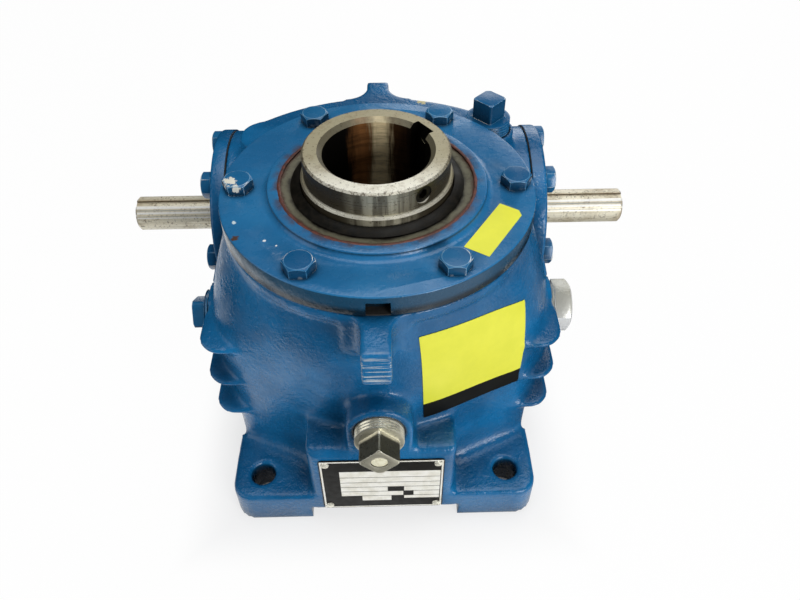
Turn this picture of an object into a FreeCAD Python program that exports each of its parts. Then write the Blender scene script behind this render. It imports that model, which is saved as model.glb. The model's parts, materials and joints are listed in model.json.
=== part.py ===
import FreeCAD, Part
import math
import os

# Hollow-shaft worm gear reducer with an upright output, in millimetres.
# The origin is on the output axis at the base plane: +Z is up along the output, +X is along the
# worm, and +Y points away from the front face that carries the nameplate.

V = FreeCAD.Vector
INCH = 25.4
X_AXIS = V(1, 0, 0)
Y_AXIS = V(0, 1, 0)
Z_AXIS = V(0, 0, 1)
ORIGIN = V(0, 0, 0)

# Gear set
CENTRE_DISTANCE = 3.0 * INCH
WORM_Z = 4.0 * INCH
GEAR_TEETH = 30
WORM_STARTS = 2
RATIO = GEAR_TEETH / WORM_STARTS
TOOTH_PITCH = 360.0 / GEAR_TEETH
PITCH_R = 60.2
FLANK_SLOPE = math.tan(math.radians(20))
THREAD_HALF = 2.84
TOOTH_HALF = 2.70
TOOTH_RELIEF = 0.002
THREAD_CREST_R = 57.4
THREAD_ROOT_R = 63.5
THREAD_SPAN = 21.0
THREAD_STEP = 30.0
TOOTH_TIP_R = 62.8
TOOTH_ROOT_R = 57.1
GEAR_OUTER_R = 64.3
GEAR_FACE = 24.0
GEAR_BORE_R = 46.0
GEAR_BOLT_R = 51.5
GEAR_FLANGE_R = 56.0
GEAR_FLANGE_T = 8.0

# Output shaft
BORE_R = 2.1875 * INCH / 2
COLLAR_R = 3.0 * INCH / 2
SEAL_JOURNAL_R = 39.7
OUTPUT_SEAT_R = 41.0
SHAFT_TOP_Z = 201.5
SHAFT_BOTTOM_Z = 4.0
COLLAR_H = 12.4
BORE_CHAMFER = 2.4
BORE_KEY_W = 0.5 * INCH
BORE_KEY_DEPTH = 4.8
BORE_KEY_ANGLE = 37.0
SET_SCREW_R = 0.375 * INCH / 2
SET_SCREW_Z = 195.2
SET_SCREW_ANGLES = (BORE_KEY_ANGLE, BORE_KEY_ANGLE - 90)

# Output bearings and seals
OUTPUT_CUP_R = 59.0
OUTPUT_BEARING_W = 20.0
OUTPUT_ROLLERS = 24
UPPER_CONE_Z = 127.0
LOWER_CONE_Z = 76.0
SEAL_R = 4.0 * INCH / 2
SEAL_H = 13.0
LIP_OUTER_R = 43.5
UPPER_SEAL_Z = 168.3
LOWER_SEAL_Z = 25.0
SEAL_STEP_R = 46.0
CUP_BACK_R = 54.0

# Worm shaft, bearings and seals
INPUT_R = 0.875 * INCH / 2
INPUT_END_X = 161.5
WORM_SEAT_R = 15.0
WORM_JOURNAL_R = 12.7
WORM_SHOULDER_R = 19.0
WORM_CONE_X = 62.0
WORM_BEARING_W = 20.0
WORM_CUP_R = 36.0
WORM_ROLLERS = 14
WORM_SEAL_R = 1.75 * INCH / 2
WORM_LIP_R = 17.0
WORM_SEAL_H = 8.0
CAP_BORE_R = 14.0
SPIGOT_BORE_R = 25.0
CAP_WALL_T = 4.0
INPUT_KEY_W = 3 / 16 * INCH
INPUT_KEY_DEPTH = 2.4
INPUT_KEY_X = 108.0
INPUT_KEY_TILT = 15.0

# Housing
DECK_Z = 165.7
LAND_R = 82.5
LAND_Z = 158.0
SIDE_X = 88.3
SIDE_FOOT_X = 85.0
SIDE_BEND_Z = 118.0
SIDE_TOP_Z = 150.0
SIDE_RUN_Y = 46.0
WALL_T = 9.0
CORE_R = 71.0
CORE_BACK_Y = 12.0
CAVITY_FLOOR_Z = 26.0
CAVITY_TOP_Z = 145.0
OPENING_R = 65.0
HUB_R = 66.0
HUB_TOP_Z = 78.0
BOSS_R = 53.2
BOSS_INNER_X = 62.0
BOSS_END_X = 93.0
WAIST_R = 47.0
LEDGE_R = 111.5
LEDGE_T = 14.0
LEFT_EAR = (-67.5, 70.0)
RIGHT_EAR = (67.0, 74.0)
EAR_R = 16.0
EAR_H = 26.0
BASE_X = 90.3
BASE_Y = 95.0
FOOT_X = 44.0
FOOT_DEPTH = 46.0
FOOT_T = 24.0
FOOT_CORNER_R = 12.0
FOOT_HOLE_X = 73.0
FOOT_HOLE_Y = 78.0
FOOT_HOLE_R = 0.5625 * INCH / 2
BASE_RELIEF = 10.0
WEB_INSET = (4.0, 20.0)
LEG_X = 88.8
LEG_ROOT_X = 60.0
LEG_FRONT_Y = -53.0
LEG_BACK_Y = -20.0
LEG_TOP_Z = 48.0
LEG_CORNER_R = 13.0
BLOCK_TOP_Z = 71.0
BLOCK_HALF = 41.6
BLOCK_BACK_Y = -40.0
BLOCK_EDGE_R = 5.0
FIN_TOPS = (110.0, 82.0, 54.5)
FIN_X = 100.5
FIN_ROOT_X = 60.0
FIN_FRONT_Y = -54.5
FIN_BACK_Y = 50.0
FIN_CORNER_R = 13.0
FIN_CAP_GAP = 2.0
LUG_HALF = 7.1
LUG_ROOT_Y = 81.0
LUG_FRONT_X = -1.2
LUG_FRONT_Y = 106.0
LUG_BACK_Y = 131.0
LUG_H = 25.8
LUG_CHAMFER = 5.0
LUG_FRONT_FLARE = 10.0
LUG_BACK_FLARE = 14.0
CAST_EDGE_R = 2.5
COVE_R = 9.0

# Plan of the case: angle from the front, and the reach there between the front's and the corners'
PLAN_SHARES = ((0, 0.0), (22, 0.02), (34, 0.10), (42, 0.24), (50, 0.50), (57, 0.80), (64, 0.95), (70, 1.0),
               (78, 0.98), (90, 0.88), (102, 0.68), (116, 0.40), (135, 0.25), (158, 0.20), (180, 0.18))
# Rise of the case: height, reach at the front and reach at the corners
CASE_SECTIONS = ((BASE_RELIEF, 78.0, 95.0), (24.0, 78.5, 97.5), (75.0, 79.5, 99.0), (110.0, 81.5, 98.4),
                 (126.0, 82.0, 94.9), (140.0, 81.5, 90.4), (152.0, 80.0, 86.0), (160.0, 78.5, 83.4),
                 (DECK_Z, 77.0, 81.6))
# Section of a fin: depth below its top, and distance in from its outer edge
FIN_SECTION = ((14.0, 12.0), (2.6, 0.5), (1.9, 0.0), (0.9, 0.0), (0.0, 1.0))

# Cover, caps and fasteners
COVER_R = 83.0
COVER_T = 12.0
GASKET_R = 82.0
GASKET_T = 0.8
COVER_Z = DECK_Z + GASKET_T
COVER_TOP_Z = COVER_Z + COVER_T
COVER_BOSS_R = 62.0
COVER_BOSS_TOP_R = 57.0
COVER_BOSS_H = 3.8
COVER_BOLT_R = 73.0
PRY_SLOT_W = 11.5
PRY_SLOT_H = 8.0
PRY_SLOT_DEPTH = 6.0
CAP_R = 54.0
CAP_T = 8.6
SHIM_T = 0.5
CAP_X = BOSS_END_X + SHIM_T
CAP_BOLT_R = 45.0
BOLT_R = 0.375 * INCH / 2
BOLT_AF = 0.5625 * INCH
BOLT_HEAD_H = 6.0
BOLTS = 6
HOLE_GAP = 0.2

# Pipe plugs and nameplate
PLUG_R = 13.3
PLUG_IN = 14.0
THREAD_PITCH = 1.81
THREAD_DEPTH = 0.6
PLUG_BOSS_R = 18.0
SQUARE_AF = 0.625 * INCH
FILL_AF = 0.5625 * INCH
HEAD_SINK = 1.0
HEX_AF = 27.0
HEX_H = 10.0
DRAIN_X = -1.5
DRAIN_Z = 88.5
DRAIN_FACE_Y = -94.5
DRAIN_HEAD = (5.5, 18.0)
DRAIN_CORE_R = 4.6
DRAIN_CORE_DEPTH = 8.0
LEVEL_Y = -11.0
LEVEL_Z = 96.0
LEVEL_FACE_X = 99.0
LEVEL_TURN = 14.0
LEVEL_SPOT = 9.0
LEVEL_LEFT_HEAD = (3.7, 11.5)
LEVEL_RIGHT_HEAD = (2.0, 12.8)
FILL_HEAD = (7.3, 19.6)
FILL_VENT_R = 4.5
FILL_VENT_DROP = 8.0
FILL_VENT_END = (46.0, 46.0)
PLATE_SIZE = (70.0, 51.0)
PLATE_CENTRE = (-1.0, 38.0)
PLATE_T = 0.8
PLATE_SCREW_INSET = 3.6
PLATE_SCREW_R = 1.3
PLATE_SCREW_IN = 6.0

SIDES = (("left", -1), ("right", 1))
WORM_AT = V(0, CENTRE_DISTANCE, WORM_Z)


def polar(radius, degrees, z=0.0):
    """Point at a radius and an angle about the output axis."""
    angle = math.radians(degrees)
    return V(radius * math.cos(angle), radius * math.sin(angle), z)


def wire(*steps):
    """Closed wire in the XZ plane through (x, z) points; a pair of points is an arc (through, to)."""
    edges = []
    start = V(steps[0][0], 0, steps[0][1])
    here = start
    for step in steps[1:] + (steps[0],):
        if isinstance(step[0], tuple):
            through = V(step[0][0], 0, step[0][1])
            end = V(step[1][0], 0, step[1][1])
            edges.append(Part.Arc(here, through, end).toShape())
        else:
            end = V(step[0], 0, step[1])
            if here.distanceToPoint(end) > 1e-7:
                edges.append(Part.LineSegment(here, end).toShape())
        here = end
    return Part.Wire(edges)


def turned(*steps, angle=360):
    """Solid of revolution about Z from an (r, z) outline."""
    return Part.Face(wire(*steps)).revolve(ORIGIN, Z_AXIS, angle)


def tube(outer, inner, z0, z1):
    """Plain ring about Z."""
    return turned((inner, z0), (outer, z0), (outer, z1), (inner, z1))


def rod(radius, start, end):
    """Cylinder from one point to another."""
    return Part.makeCylinder(radius, (end - start).Length, start, end - start)


def block(low, high):
    """Box between two corners."""
    size = high - low
    return Part.makeBox(size.x, size.y, size.z, low)


def plate(outline, z0, z1):
    """Prism from (x, y) points, from z0 up to z1."""
    points = [V(x, y, z0) for x, y in outline]
    return Part.Face(Part.makePolygon(points + points[:1])).extrude(V(0, 0, z1 - z0))


def moved(shape, at):
    """Copy of a shape, moved."""
    copy = shape.copy()
    copy.translate(at)
    return copy


def spun(shape, degrees, centre=ORIGIN, axis=Z_AXIS):
    """Copy of a shape, turned about an axis."""
    copy = shape.copy()
    copy.rotate(centre, axis, degrees)
    return copy


def mirrored(shape, axis):
    """Copy of a shape, mirrored across the plane through the origin square to an axis."""
    return shape.mirror(ORIGIN, axis)


def ring_of(shape, count, first=0.0):
    """Copies of a shape spread evenly about Z."""
    return [spun(shape, first + 360.0 * k / count) for k in range(count)]


def group(shapes):
    """Separate solids kept together in one piece group."""
    return Part.makeCompound(shapes)


def joined(first, *others):
    """One solid from several that overlap."""
    return first.fuse(list(others)).removeSplitter()


def along_x(shape, side):
    """A shape made about +Z, laid along the worm axis and pointing out of the given side."""
    return moved(spun(shape, 90 * side, ORIGIN, Y_AXIS), WORM_AT)


def upright(edge):
    """Whether an edge runs along Z."""
    return abs(edge.tangentAt(edge.FirstParameter).z) > 0.9


def rounded(shape, radius, wanted):
    """Fillet the edges that a test on an edge's middle point and direction picks."""
    picked = []
    for edge in shape.Edges:
        middle = edge.valueAt((edge.FirstParameter + edge.LastParameter) / 2)
        if wanted(edge, middle):
            picked.append(edge)
    return shape.makeFillet(radius, picked)


# Fasteners

def hex_prism(across_flats, z0, z1):
    """Upright hexagonal prism."""
    corner = across_flats / math.sqrt(3)
    outline = [(corner * math.cos(math.radians(60 * k)), corner * math.sin(math.radians(60 * k)))
               for k in range(6)]
    return plate(outline, z0, z1)


def crowned(prism, across_flats, z0, z1):
    """Prism with its top corners turned off at thirty degrees."""
    corner = across_flats * 0.72
    drop = (corner - across_flats * 0.47) * math.tan(math.radians(30))
    crown = turned((0, z0), (corner, z0), (corner, z1 - drop), (across_flats * 0.47, z1), (0, z1))
    return prism.common(crown)


def hex_bolt(radius, across_flats, head, length):
    """Hex bolt with its bearing face at z = 0 and its shank below."""
    top = crowned(hex_prism(across_flats, 0, head), across_flats, 0, head)
    return joined(top, rod(radius, V(0, 0, 0), V(0, 0, -length)))


def square_prism(across_flats, z0, z1):
    """Upright square prism with a corner towards +X and its edges bevelled."""
    half = across_flats / 2
    prism = plate([(-half, -half), (half, -half), (half, half), (-half, half)], z0, z1)
    prism = rounded(prism, across_flats * 0.1, lambda edge, middle: z0 < middle.z < z1)
    return spun(prism, 45)


def pipe_plug(head, head_from):
    """Pipe plug along +Z: thread in below z = 0, thread rings above it, and a head from head_from up."""
    outline = [(0, -PLUG_IN), (PLUG_R, -PLUG_IN), (PLUG_R, 0)]
    for k in range(int(head_from / THREAD_PITCH)):
        outline.append((PLUG_R - THREAD_DEPTH, (k + 0.5) * THREAD_PITCH))
        outline.append((PLUG_R, (k + 1) * THREAD_PITCH))
    outline += [(PLUG_R - 1.5, head_from), (0, head_from)]
    return joined(turned(*outline), head)


def square_head(across_flats, z0, z1):
    """Square plug head with a crowned end, rooted a little below z0."""
    root = z0 - HEAD_SINK
    return crowned(square_prism(across_flats, root, z1), across_flats * 1.28, root, z1)


def hex_head(across_flats, z0, z1):
    """Hex plug head on a round neck that is rooted a little below z0."""
    neck = rod(PLUG_R - 2.5, V(0, 0, z0 - HEAD_SINK), V(0, 0, z1))
    return joined(neck, crowned(hex_prism(across_flats, z1 - HEX_H, z1), across_flats, z1 - HEX_H, z1))


# Gear set

def tooth_section(z):
    """Trapezoid across a gear tooth at a height above the gear's middle plane."""
    points = []
    for radius, side in ((TOOTH_ROOT_R - 1.6, -1), (GEAR_OUTER_R + 1.2, -1),
                         (GEAR_OUTER_R + 1.2, 1), (TOOTH_ROOT_R - 1.6, 1)):
        lean = math.degrees(math.atan2(z, CENTRE_DISTANCE - radius)) / RATIO
        half = TOOTH_HALF - (radius - PITCH_R) * FLANK_SLOPE - TOOTH_RELIEF * z * z
        points.append(polar(radius, 90 + lean + side * math.degrees(half / radius), WORM_Z + z))
    return Part.makePolygon(points + points[:1])


def make_worm_gear():
    """Bronze gear ring with throated, leaning teeth that embrace the worm."""
    half = GEAR_FACE / 2
    low, high = WORM_Z - half, WORM_Z + half
    throat = CENTRE_DISTANCE - TOOTH_TIP_R
    rise = math.sqrt(throat ** 2 - (CENTRE_DISTANCE - GEAR_OUTER_R) ** 2)
    envelope = turned((GEAR_BORE_R, low), (GEAR_OUTER_R, low), (GEAR_OUTER_R, WORM_Z - rise),
                      ((TOOTH_TIP_R, WORM_Z), (GEAR_OUTER_R, WORM_Z + rise)),
                      (GEAR_OUTER_R, high), (GEAR_BORE_R, high))
    tooth = Part.makeLoft([tooth_section(half * k / 2) for k in (-2, -1, 0, 1, 2)], True, False)
    tooth = tooth.common(envelope)
    gear = joined(tube(TOOTH_ROOT_R, GEAR_BORE_R, low, high), *ring_of(tooth, GEAR_TEETH))
    hole = rod(BOLT_R * 0.66 + HOLE_GAP, V(GEAR_BOLT_R, 0, low - 1), V(GEAR_BOLT_R, 0, high + 1))
    return gear.cut(ring_of(hole, BOLTS))


def thread_section(start, turn):
    """Trapezoid across a worm thread, at a turn about the worm from the side that faces the gear."""
    centre = 90 + start + turn / RATIO
    points = []
    for radius, side in ((THREAD_CREST_R, -1), (THREAD_ROOT_R + 1.4, -1),
                         (THREAD_ROOT_R + 1.4, 1), (THREAD_CREST_R, 1)):
        half = THREAD_HALF + (radius - PITCH_R) * FLANK_SLOPE
        points.append(polar(radius, centre + side * math.degrees(half / radius), WORM_Z))
    return spun(Part.makePolygon(points + points[:1]), -turn, WORM_AT, X_AXIS)


def make_thread(start):
    """One thread of the hourglass worm, wrapped round the gear's curve."""
    first = (-THREAD_SPAN - start) * RATIO
    steps = round(2 * THREAD_SPAN * RATIO / THREAD_STEP)
    sections = [thread_section(start, first + THREAD_STEP * k) for k in range(steps + 1)]
    return Part.makeLoft(sections, True, False)


def make_worm_shaft():
    """Worm and shaft in one piece: hourglass body, bearing seats, seal journals and keyed ends."""
    waist = CENTRE_DISTANCE - THREAD_ROOT_R
    end_x = THREAD_ROOT_R * math.sin(math.radians(THREAD_SPAN + 2))
    end_r = CENTRE_DISTANCE - THREAD_ROOT_R * math.cos(math.radians(THREAD_SPAN + 2))
    seal_x = CAP_X + CAP_T
    seat_x = WORM_CONE_X + WORM_BEARING_W + 1
    half = ((0, end_x), (end_r, end_x), (WORM_SHOULDER_R, end_x + 6), (WORM_SHOULDER_R, WORM_CONE_X),
            (WORM_SEAT_R, WORM_CONE_X), (WORM_SEAT_R, seat_x), (WORM_JOURNAL_R, seat_x),
            (WORM_JOURNAL_R, seal_x), (INPUT_R, seal_x), (INPUT_R, INPUT_END_X - 1.2),
            (INPUT_R - 1.2, INPUT_END_X), (0, INPUT_END_X))
    middle = turned((0, -end_x), (end_r, -end_x), ((waist, 0), (end_r, end_x)), (0, end_x))
    shaft = joined(along_x(middle, 1), *[along_x(turned(*half), side) for _, side in SIDES])
    starts = [make_thread(TOOTH_PITCH * (0.5 - k)) for k in range(WORM_STARTS)]
    shaft = shaft.fuse(starts)
    key = block(V(INPUT_KEY_X, -INPUT_KEY_W / 2, INPUT_R - INPUT_KEY_DEPTH),
                V(INPUT_END_X + 1, INPUT_KEY_W / 2, INPUT_R + 1))
    key = spun(key, INPUT_KEY_TILT, ORIGIN, X_AXIS)
    seats = [moved(key, WORM_AT), moved(mirrored(key, X_AXIS), WORM_AT)]
    return shaft.cut(seats)


def make_hollow_shaft():
    """Bored and keyed output shaft with a collar, seal journals, bearing seats and a gear flange."""
    gear_top = WORM_Z + GEAR_FACE / 2
    flange_top = gear_top + GEAR_FLANGE_T
    collar_z = SHAFT_TOP_Z - COLLAR_H
    seat_end = OUTPUT_BEARING_W + 3
    shaft = turned(
        (BORE_R + BORE_CHAMFER, SHAFT_TOP_Z), (COLLAR_R - 1, SHAFT_TOP_Z), (COLLAR_R, SHAFT_TOP_Z - 1),
        (COLLAR_R, collar_z), (COLLAR_R - 0.8, collar_z), (COLLAR_R - 0.8, collar_z - 1.2),
        (SEAL_JOURNAL_R - 0.8, collar_z - 1.2), (SEAL_JOURNAL_R, collar_z - 2),
        (SEAL_JOURNAL_R, UPPER_CONE_Z + seat_end), (OUTPUT_SEAT_R, UPPER_CONE_Z + seat_end),
        (OUTPUT_SEAT_R, UPPER_CONE_Z), (GEAR_BORE_R, UPPER_CONE_Z), (GEAR_BORE_R, flange_top),
        (GEAR_FLANGE_R, flange_top), (GEAR_FLANGE_R, gear_top), (GEAR_BORE_R, gear_top),
        (GEAR_BORE_R, LOWER_CONE_Z), (OUTPUT_SEAT_R, LOWER_CONE_Z), (OUTPUT_SEAT_R, LOWER_CONE_Z - seat_end),
        (SEAL_JOURNAL_R, LOWER_CONE_Z - seat_end), (SEAL_JOURNAL_R, SHAFT_BOTTOM_Z + 1),
        (SEAL_JOURNAL_R - 1, SHAFT_BOTTOM_Z), (BORE_R + 1.5, SHAFT_BOTTOM_Z),
        (BORE_R, SHAFT_BOTTOM_Z + 1.5), (BORE_R, SHAFT_TOP_Z - BORE_CHAMFER))
    key = block(V(0, -BORE_KEY_W / 2, SHAFT_BOTTOM_Z - 1),
                V(BORE_R + BORE_KEY_DEPTH, BORE_KEY_W / 2, SHAFT_TOP_Z + 1))
    holes = [rod(SET_SCREW_R, polar(BORE_R - 3, a, SET_SCREW_Z), polar(COLLAR_R + 2, a, SET_SCREW_Z))
             for a in SET_SCREW_ANGLES]
    bolt = rod(BOLT_R * 0.66, V(GEAR_BOLT_R, 0, gear_top - 1), V(GEAR_BOLT_R, 0, flange_top + 1))
    return shaft.cut([spun(key, BORE_KEY_ANGLE)] + holes + ring_of(bolt, BOLTS))


def make_set_screws():
    """Socket set screws in the collar, one over the keyway and one square to it."""
    screws = []
    for angle in SET_SCREW_ANGLES:
        inner = BORE_R + (BORE_KEY_DEPTH + 0.3 if angle == BORE_KEY_ANGLE else 1.0)
        end = V(COLLAR_R - 0.9, 0, SET_SCREW_Z)
        screw = rod(SET_SCREW_R, V(inner, 0, SET_SCREW_Z), end)
        socket = spun(hex_prism(SET_SCREW_R, -3, 1), 90, ORIGIN, Y_AXIS)
        screws.append(spun(screw.cut(moved(socket, end)), angle))
    return group(screws)


def make_gear_bolts():
    """Bolts that hold the gear ring up against the shaft's flange."""
    low = WORM_Z - GEAR_FACE / 2
    bolt = hex_bolt(BOLT_R * 0.66, BOLT_AF * 0.62, 3.6, GEAR_FACE + GEAR_FLANGE_T)
    bolt = moved(spun(bolt, 180, ORIGIN, X_AXIS), V(GEAR_BOLT_R, 0, low))
    return group(ring_of(bolt, BOLTS))


# Bearings and seals

def make_bearing(bore, outer, width, rollers):
    """Tapered roller bearing about Z: cup, cone, cage and rollers, with the cone's back face at z = 0."""
    tilt = math.radians(14)
    gap = 0.12
    length = width * 0.62
    pitch = bore + (outer - bore) * 0.52
    thick = (outer - bore) * 0.2
    large, small = thick * 1.04, thick * 0.96

    def at(lengthwise, across):
        """(r, z) point from a distance along the roller and a distance out from its axis."""
        return (pitch - lengthwise * math.sin(tilt) + across * math.cos(tilt),
                width / 2 + lengthwise * math.cos(tilt) + across * math.sin(tilt))

    end = length / 2
    race = (at(-end - 0.5, -large - gap), at(end + 1.5, -small - gap))
    rib = at(-end - 0.5, -large + 2.0)
    cone = turned((bore, 0), (rib[0], 0), rib, race[0], race[1], (bore, race[1][1]))
    track = (at(-end - 1.5, large + gap), at(end + 1.5, small + gap))
    cup = turned(track[0], (outer, track[0][1]), (outer, width), (track[1][0], width), track[1])
    centre = V(pitch, 0, width / 2)
    direction = V(-math.sin(tilt), 0, math.cos(tilt))
    roller = Part.makeCone(large, small, length, centre - direction * end, direction)
    pocket = Part.makeCone(large + 0.25, small + 0.25, length + 0.6,
                           centre - direction * (end + 0.3), direction)
    strip = turned(at(-end - 1.8, 0.2), at(-end - 1.8, 1.5), at(end + 1.4, 1.5), at(end + 1.4, 0.2))
    cage = strip.cut(ring_of(pocket, rollers))
    return {"cup": cup, "cone": cone, "cage": cage, "rollers": group(ring_of(roller, rollers))}


def make_seal(inner, lip_outer, outer, height):
    """Shaft seal about Z with its open side at z = 0: a metal case and a rubber lip."""
    case = turned((outer, 0), (outer, height), (lip_outer, height - 1.0), (lip_outer, height - 2.5),
                  (outer - 1.6, height - 1.6), (outer - 1.6, 0))
    lip_low = height * 0.3
    lip = turned((lip_outer, height - 1.2), (inner + 1.2, height - 2.2), (inner + 0.05, height * 0.55),
                 (inner + 1.2, lip_low), (lip_outer, lip_low))
    return {"case": case, "lip": lip}


# Cover, caps and plate

def make_top_cover():
    """Round cover with the upper bearing seat, a raised seal boss and a pry slot in its rim."""
    boss_z = COVER_TOP_Z + COVER_BOSS_H
    cup_top = UPPER_CONE_Z + OUTPUT_BEARING_W
    cover = turned(
        (COVER_R, COVER_Z), (COVER_R, COVER_TOP_Z - 0.6), (COVER_R - 0.6, COVER_TOP_Z),
        (COVER_BOSS_R, COVER_TOP_Z),
        ((COVER_BOSS_R - 3.6, COVER_TOP_Z + 1.2), (COVER_BOSS_TOP_R + 0.6, boss_z - 0.5)),
        (COVER_BOSS_TOP_R, boss_z), (SEAL_R + 1.2, boss_z), (SEAL_R, boss_z - 1.0), (SEAL_R, UPPER_SEAL_Z),
        (SEAL_STEP_R, UPPER_SEAL_Z), (SEAL_STEP_R, cup_top + 10), (CUP_BACK_R, cup_top + 10),
        (CUP_BACK_R, cup_top),
        (OUTPUT_CUP_R, cup_top), (OUTPUT_CUP_R, UPPER_CONE_Z - 1), (OPENING_R - 0.1, UPPER_CONE_Z - 1),
        (OPENING_R - 0.1, COVER_Z))
    hole = rod(BOLT_R + HOLE_GAP, V(COVER_BOLT_R, 0, COVER_Z - 1), V(COVER_BOLT_R, 0, COVER_TOP_Z + 1))
    slot = block(V(-PRY_SLOT_W / 2, -COVER_R - 1, COVER_Z - 1),
                 V(PRY_SLOT_W / 2, PRY_SLOT_DEPTH - COVER_R, COVER_Z + PRY_SLOT_H))
    return cover.cut(ring_of(hole, BOLTS) + [slot])


def make_cap():
    """Bearing cap about Z, with its joint face at z = 0 and the worm seal's bore open at the top."""
    spigot = CAP_X - WORM_CONE_X - WORM_BEARING_W
    seal_z = CAP_T - WORM_SEAL_H - 0.5
    cap = turned(
        (CAP_BORE_R, -CAP_WALL_T), (SPIGOT_BORE_R, -CAP_WALL_T), (SPIGOT_BORE_R, -spigot),
        (WORM_CUP_R - 0.1, -spigot),
        (WORM_CUP_R - 0.1, 0), (CAP_R, 0), (CAP_R, CAP_T - 2.0),
        ((CAP_R - 0.6, CAP_T - 0.6), (CAP_R - 2.0, CAP_T)), (WORM_SEAL_R + 1.0, CAP_T),
        (WORM_SEAL_R, CAP_T - 1.0), (WORM_SEAL_R, seal_z), (CAP_BORE_R, seal_z))
    hole = rod(BOLT_R + HOLE_GAP, V(CAP_BOLT_R, 0, -1), V(CAP_BOLT_R, 0, CAP_T + 1))
    return cap.cut(ring_of(hole, BOLTS, 30))


def flat_ring(outer, inner, bolt_circle, z0, z1, first=0.0):
    """Thin ring with bolt holes, for a gasket or a shim."""
    hole = rod(BOLT_R + HOLE_GAP, V(bolt_circle, 0, z0 - 1), V(bolt_circle, 0, z1 + 1))
    return tube(outer, inner, z0, z1).cut(ring_of(hole, BOLTS, first))


def plate_screw_places():
    """Centres of the nameplate's four screws on the front block."""
    x, z = PLATE_CENTRE
    across = PLATE_SIZE[0] / 2 - PLATE_SCREW_INSET
    rise = PLATE_SIZE[1] / 2 - PLATE_SCREW_INSET
    return [V(x + sx * across, -BASE_Y, z + sz * rise) for sx in (-1, 1) for sz in (-1, 1)]


def make_nameplate():
    """Blank plate on the front block and the four drive screws at its corners."""
    width, height = PLATE_SIZE
    x, z = PLATE_CENTRE
    low = V(x - width / 2, -BASE_Y - PLATE_T, z - height / 2)
    sheet = block(low, V(x + width / 2, -BASE_Y, z + height / 2))
    sheet = rounded(sheet, 2.0, lambda edge, middle: abs(edge.tangentAt(edge.FirstParameter).y) > 0.9)
    screw = turned((0, -PLATE_SCREW_IN), (PLATE_SCREW_R, -PLATE_SCREW_IN), (PLATE_SCREW_R, PLATE_T),
                   (2.3, PLATE_T), (2.0, PLATE_T + 0.8), (1.1, PLATE_T + 1.3), (0, PLATE_T + 1.3))
    screw = spun(screw, 90, ORIGIN, X_AXIS)
    places = plate_screw_places()
    sheet = sheet.cut([rod(PLATE_SCREW_R, at + Y_AXIS, at - Y_AXIS * 3) for at in places])
    return sheet, group([moved(screw, at) for at in places])


# Housing

def case_section(z, front, corner, grow=0.0):
    """Plan curve of the case at a height: a square with round corners, grown outwards by an amount."""
    right = []
    for angle, share in PLAN_SHARES:
        right.append(polar(front + (corner - front) * share + grow, angle - 90, z))
    left = [V(-point.x, point.y, point.z) for point in reversed(right[1:-1])]
    curve = Part.BSplineCurve()
    curve.interpolate(right + left, PeriodicFlag=True)
    return Part.Wire(curve.toShape())


def case_loft(grow=0.0):
    """Body of the case from the base relief up to the deck."""
    return Part.makeLoft([case_section(*section, grow) for section in CASE_SECTIONS], True, False)


def make_body():
    """Body of the case, the round land under the cover, and the sides back to the bearing bosses."""
    land = rod(LAND_R, V(0, 0, LAND_Z), V(0, 0, DECK_Z))
    side = Part.Face(wire((0, BASE_RELIEF), (SIDE_FOOT_X, BASE_RELIEF), (SIDE_X, SIDE_BEND_Z),
                          ((SIDE_X - 4.4, SIDE_TOP_Z - 12), (SIDE_X - 19, SIDE_TOP_Z)), (0, SIDE_TOP_Z)))
    side = side.extrude(V(0, SIDE_RUN_Y, 0))
    return [case_loft(), land, side, mirrored(side, X_AXIS)]


def make_tunnel():
    """Worm tunnel across the back: a waist between two bearing bosses."""
    half = turned((0, 0), (WAIST_R, 0), (WAIST_R, BOSS_INNER_X - 12), (BOSS_R, BOSS_INNER_X),
                  (BOSS_R, BOSS_END_X), (0, BOSS_END_X))
    return [along_x(half, side) for _, side in SIDES]


def make_deck_ledge():
    """Ledge behind the cover, level with the deck, with a round ear at each end and a lifting lug."""
    sector = turned((0, DECK_Z - LEDGE_T), (LEDGE_R - 2, DECK_Z - LEDGE_T), (LEDGE_R, DECK_Z - 1.5),
                    (LEDGE_R - 1.5, DECK_Z), (0, DECK_Z), angle=90)
    ears = [rod(EAR_R, V(x, y, DECK_Z - EAR_H), V(x, y, DECK_Z)) for x, y in (LEFT_EAR, RIGHT_EAR)]
    lug = make_lug(LEDGE_R - 1, LUG_BACK_Y, LUG_BACK_FLARE)
    return [spun(sector, 45)] + ears + [mirrored(lug, Y_AXIS)]


def make_lug(root, tip, flare):
    """Lifting lug towards -Y between two distances, with flared roots and a chamfered foot."""
    low, high = DECK_Z - LUG_H, DECK_Z
    edges = []
    bend = flare * (1 - math.sqrt(0.5))
    for sx in (-1, 1):
        foot = V(sx * (LUG_HALF + flare), -root, low)
        through = V(sx * (LUG_HALF + bend), -root - bend, low)
        neck = V(sx * LUG_HALF, -root - flare, low)
        nose = V(sx * LUG_HALF, -tip, low)
        edges += [Part.Arc(foot, through, neck).toShape(), Part.makeLine(neck, nose)]
    wide = LUG_HALF + flare
    corners = [V(-wide, -root, low), V(-wide, flare - root, low),
               V(wide, flare - root, low), V(wide, -root, low)]
    edges += [Part.makeLine(start, end) for start, end in zip(corners, corners[1:])]
    edges.append(Part.makeLine(V(-LUG_HALF, -tip, low), V(LUG_HALF, -tip, low)))
    outline = Part.Wire(Part.sortEdges(edges)[0])
    lug = Part.Face(outline).extrude(V(0, 0, high - low))
    return lug.makeChamfer(LUG_CHAMFER, [edge for edge in lug.Edges
                                         if abs(edge.CenterOfMass.y + tip) < 0.1
                                         and abs(edge.CenterOfMass.z - low) < 0.1])


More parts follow.
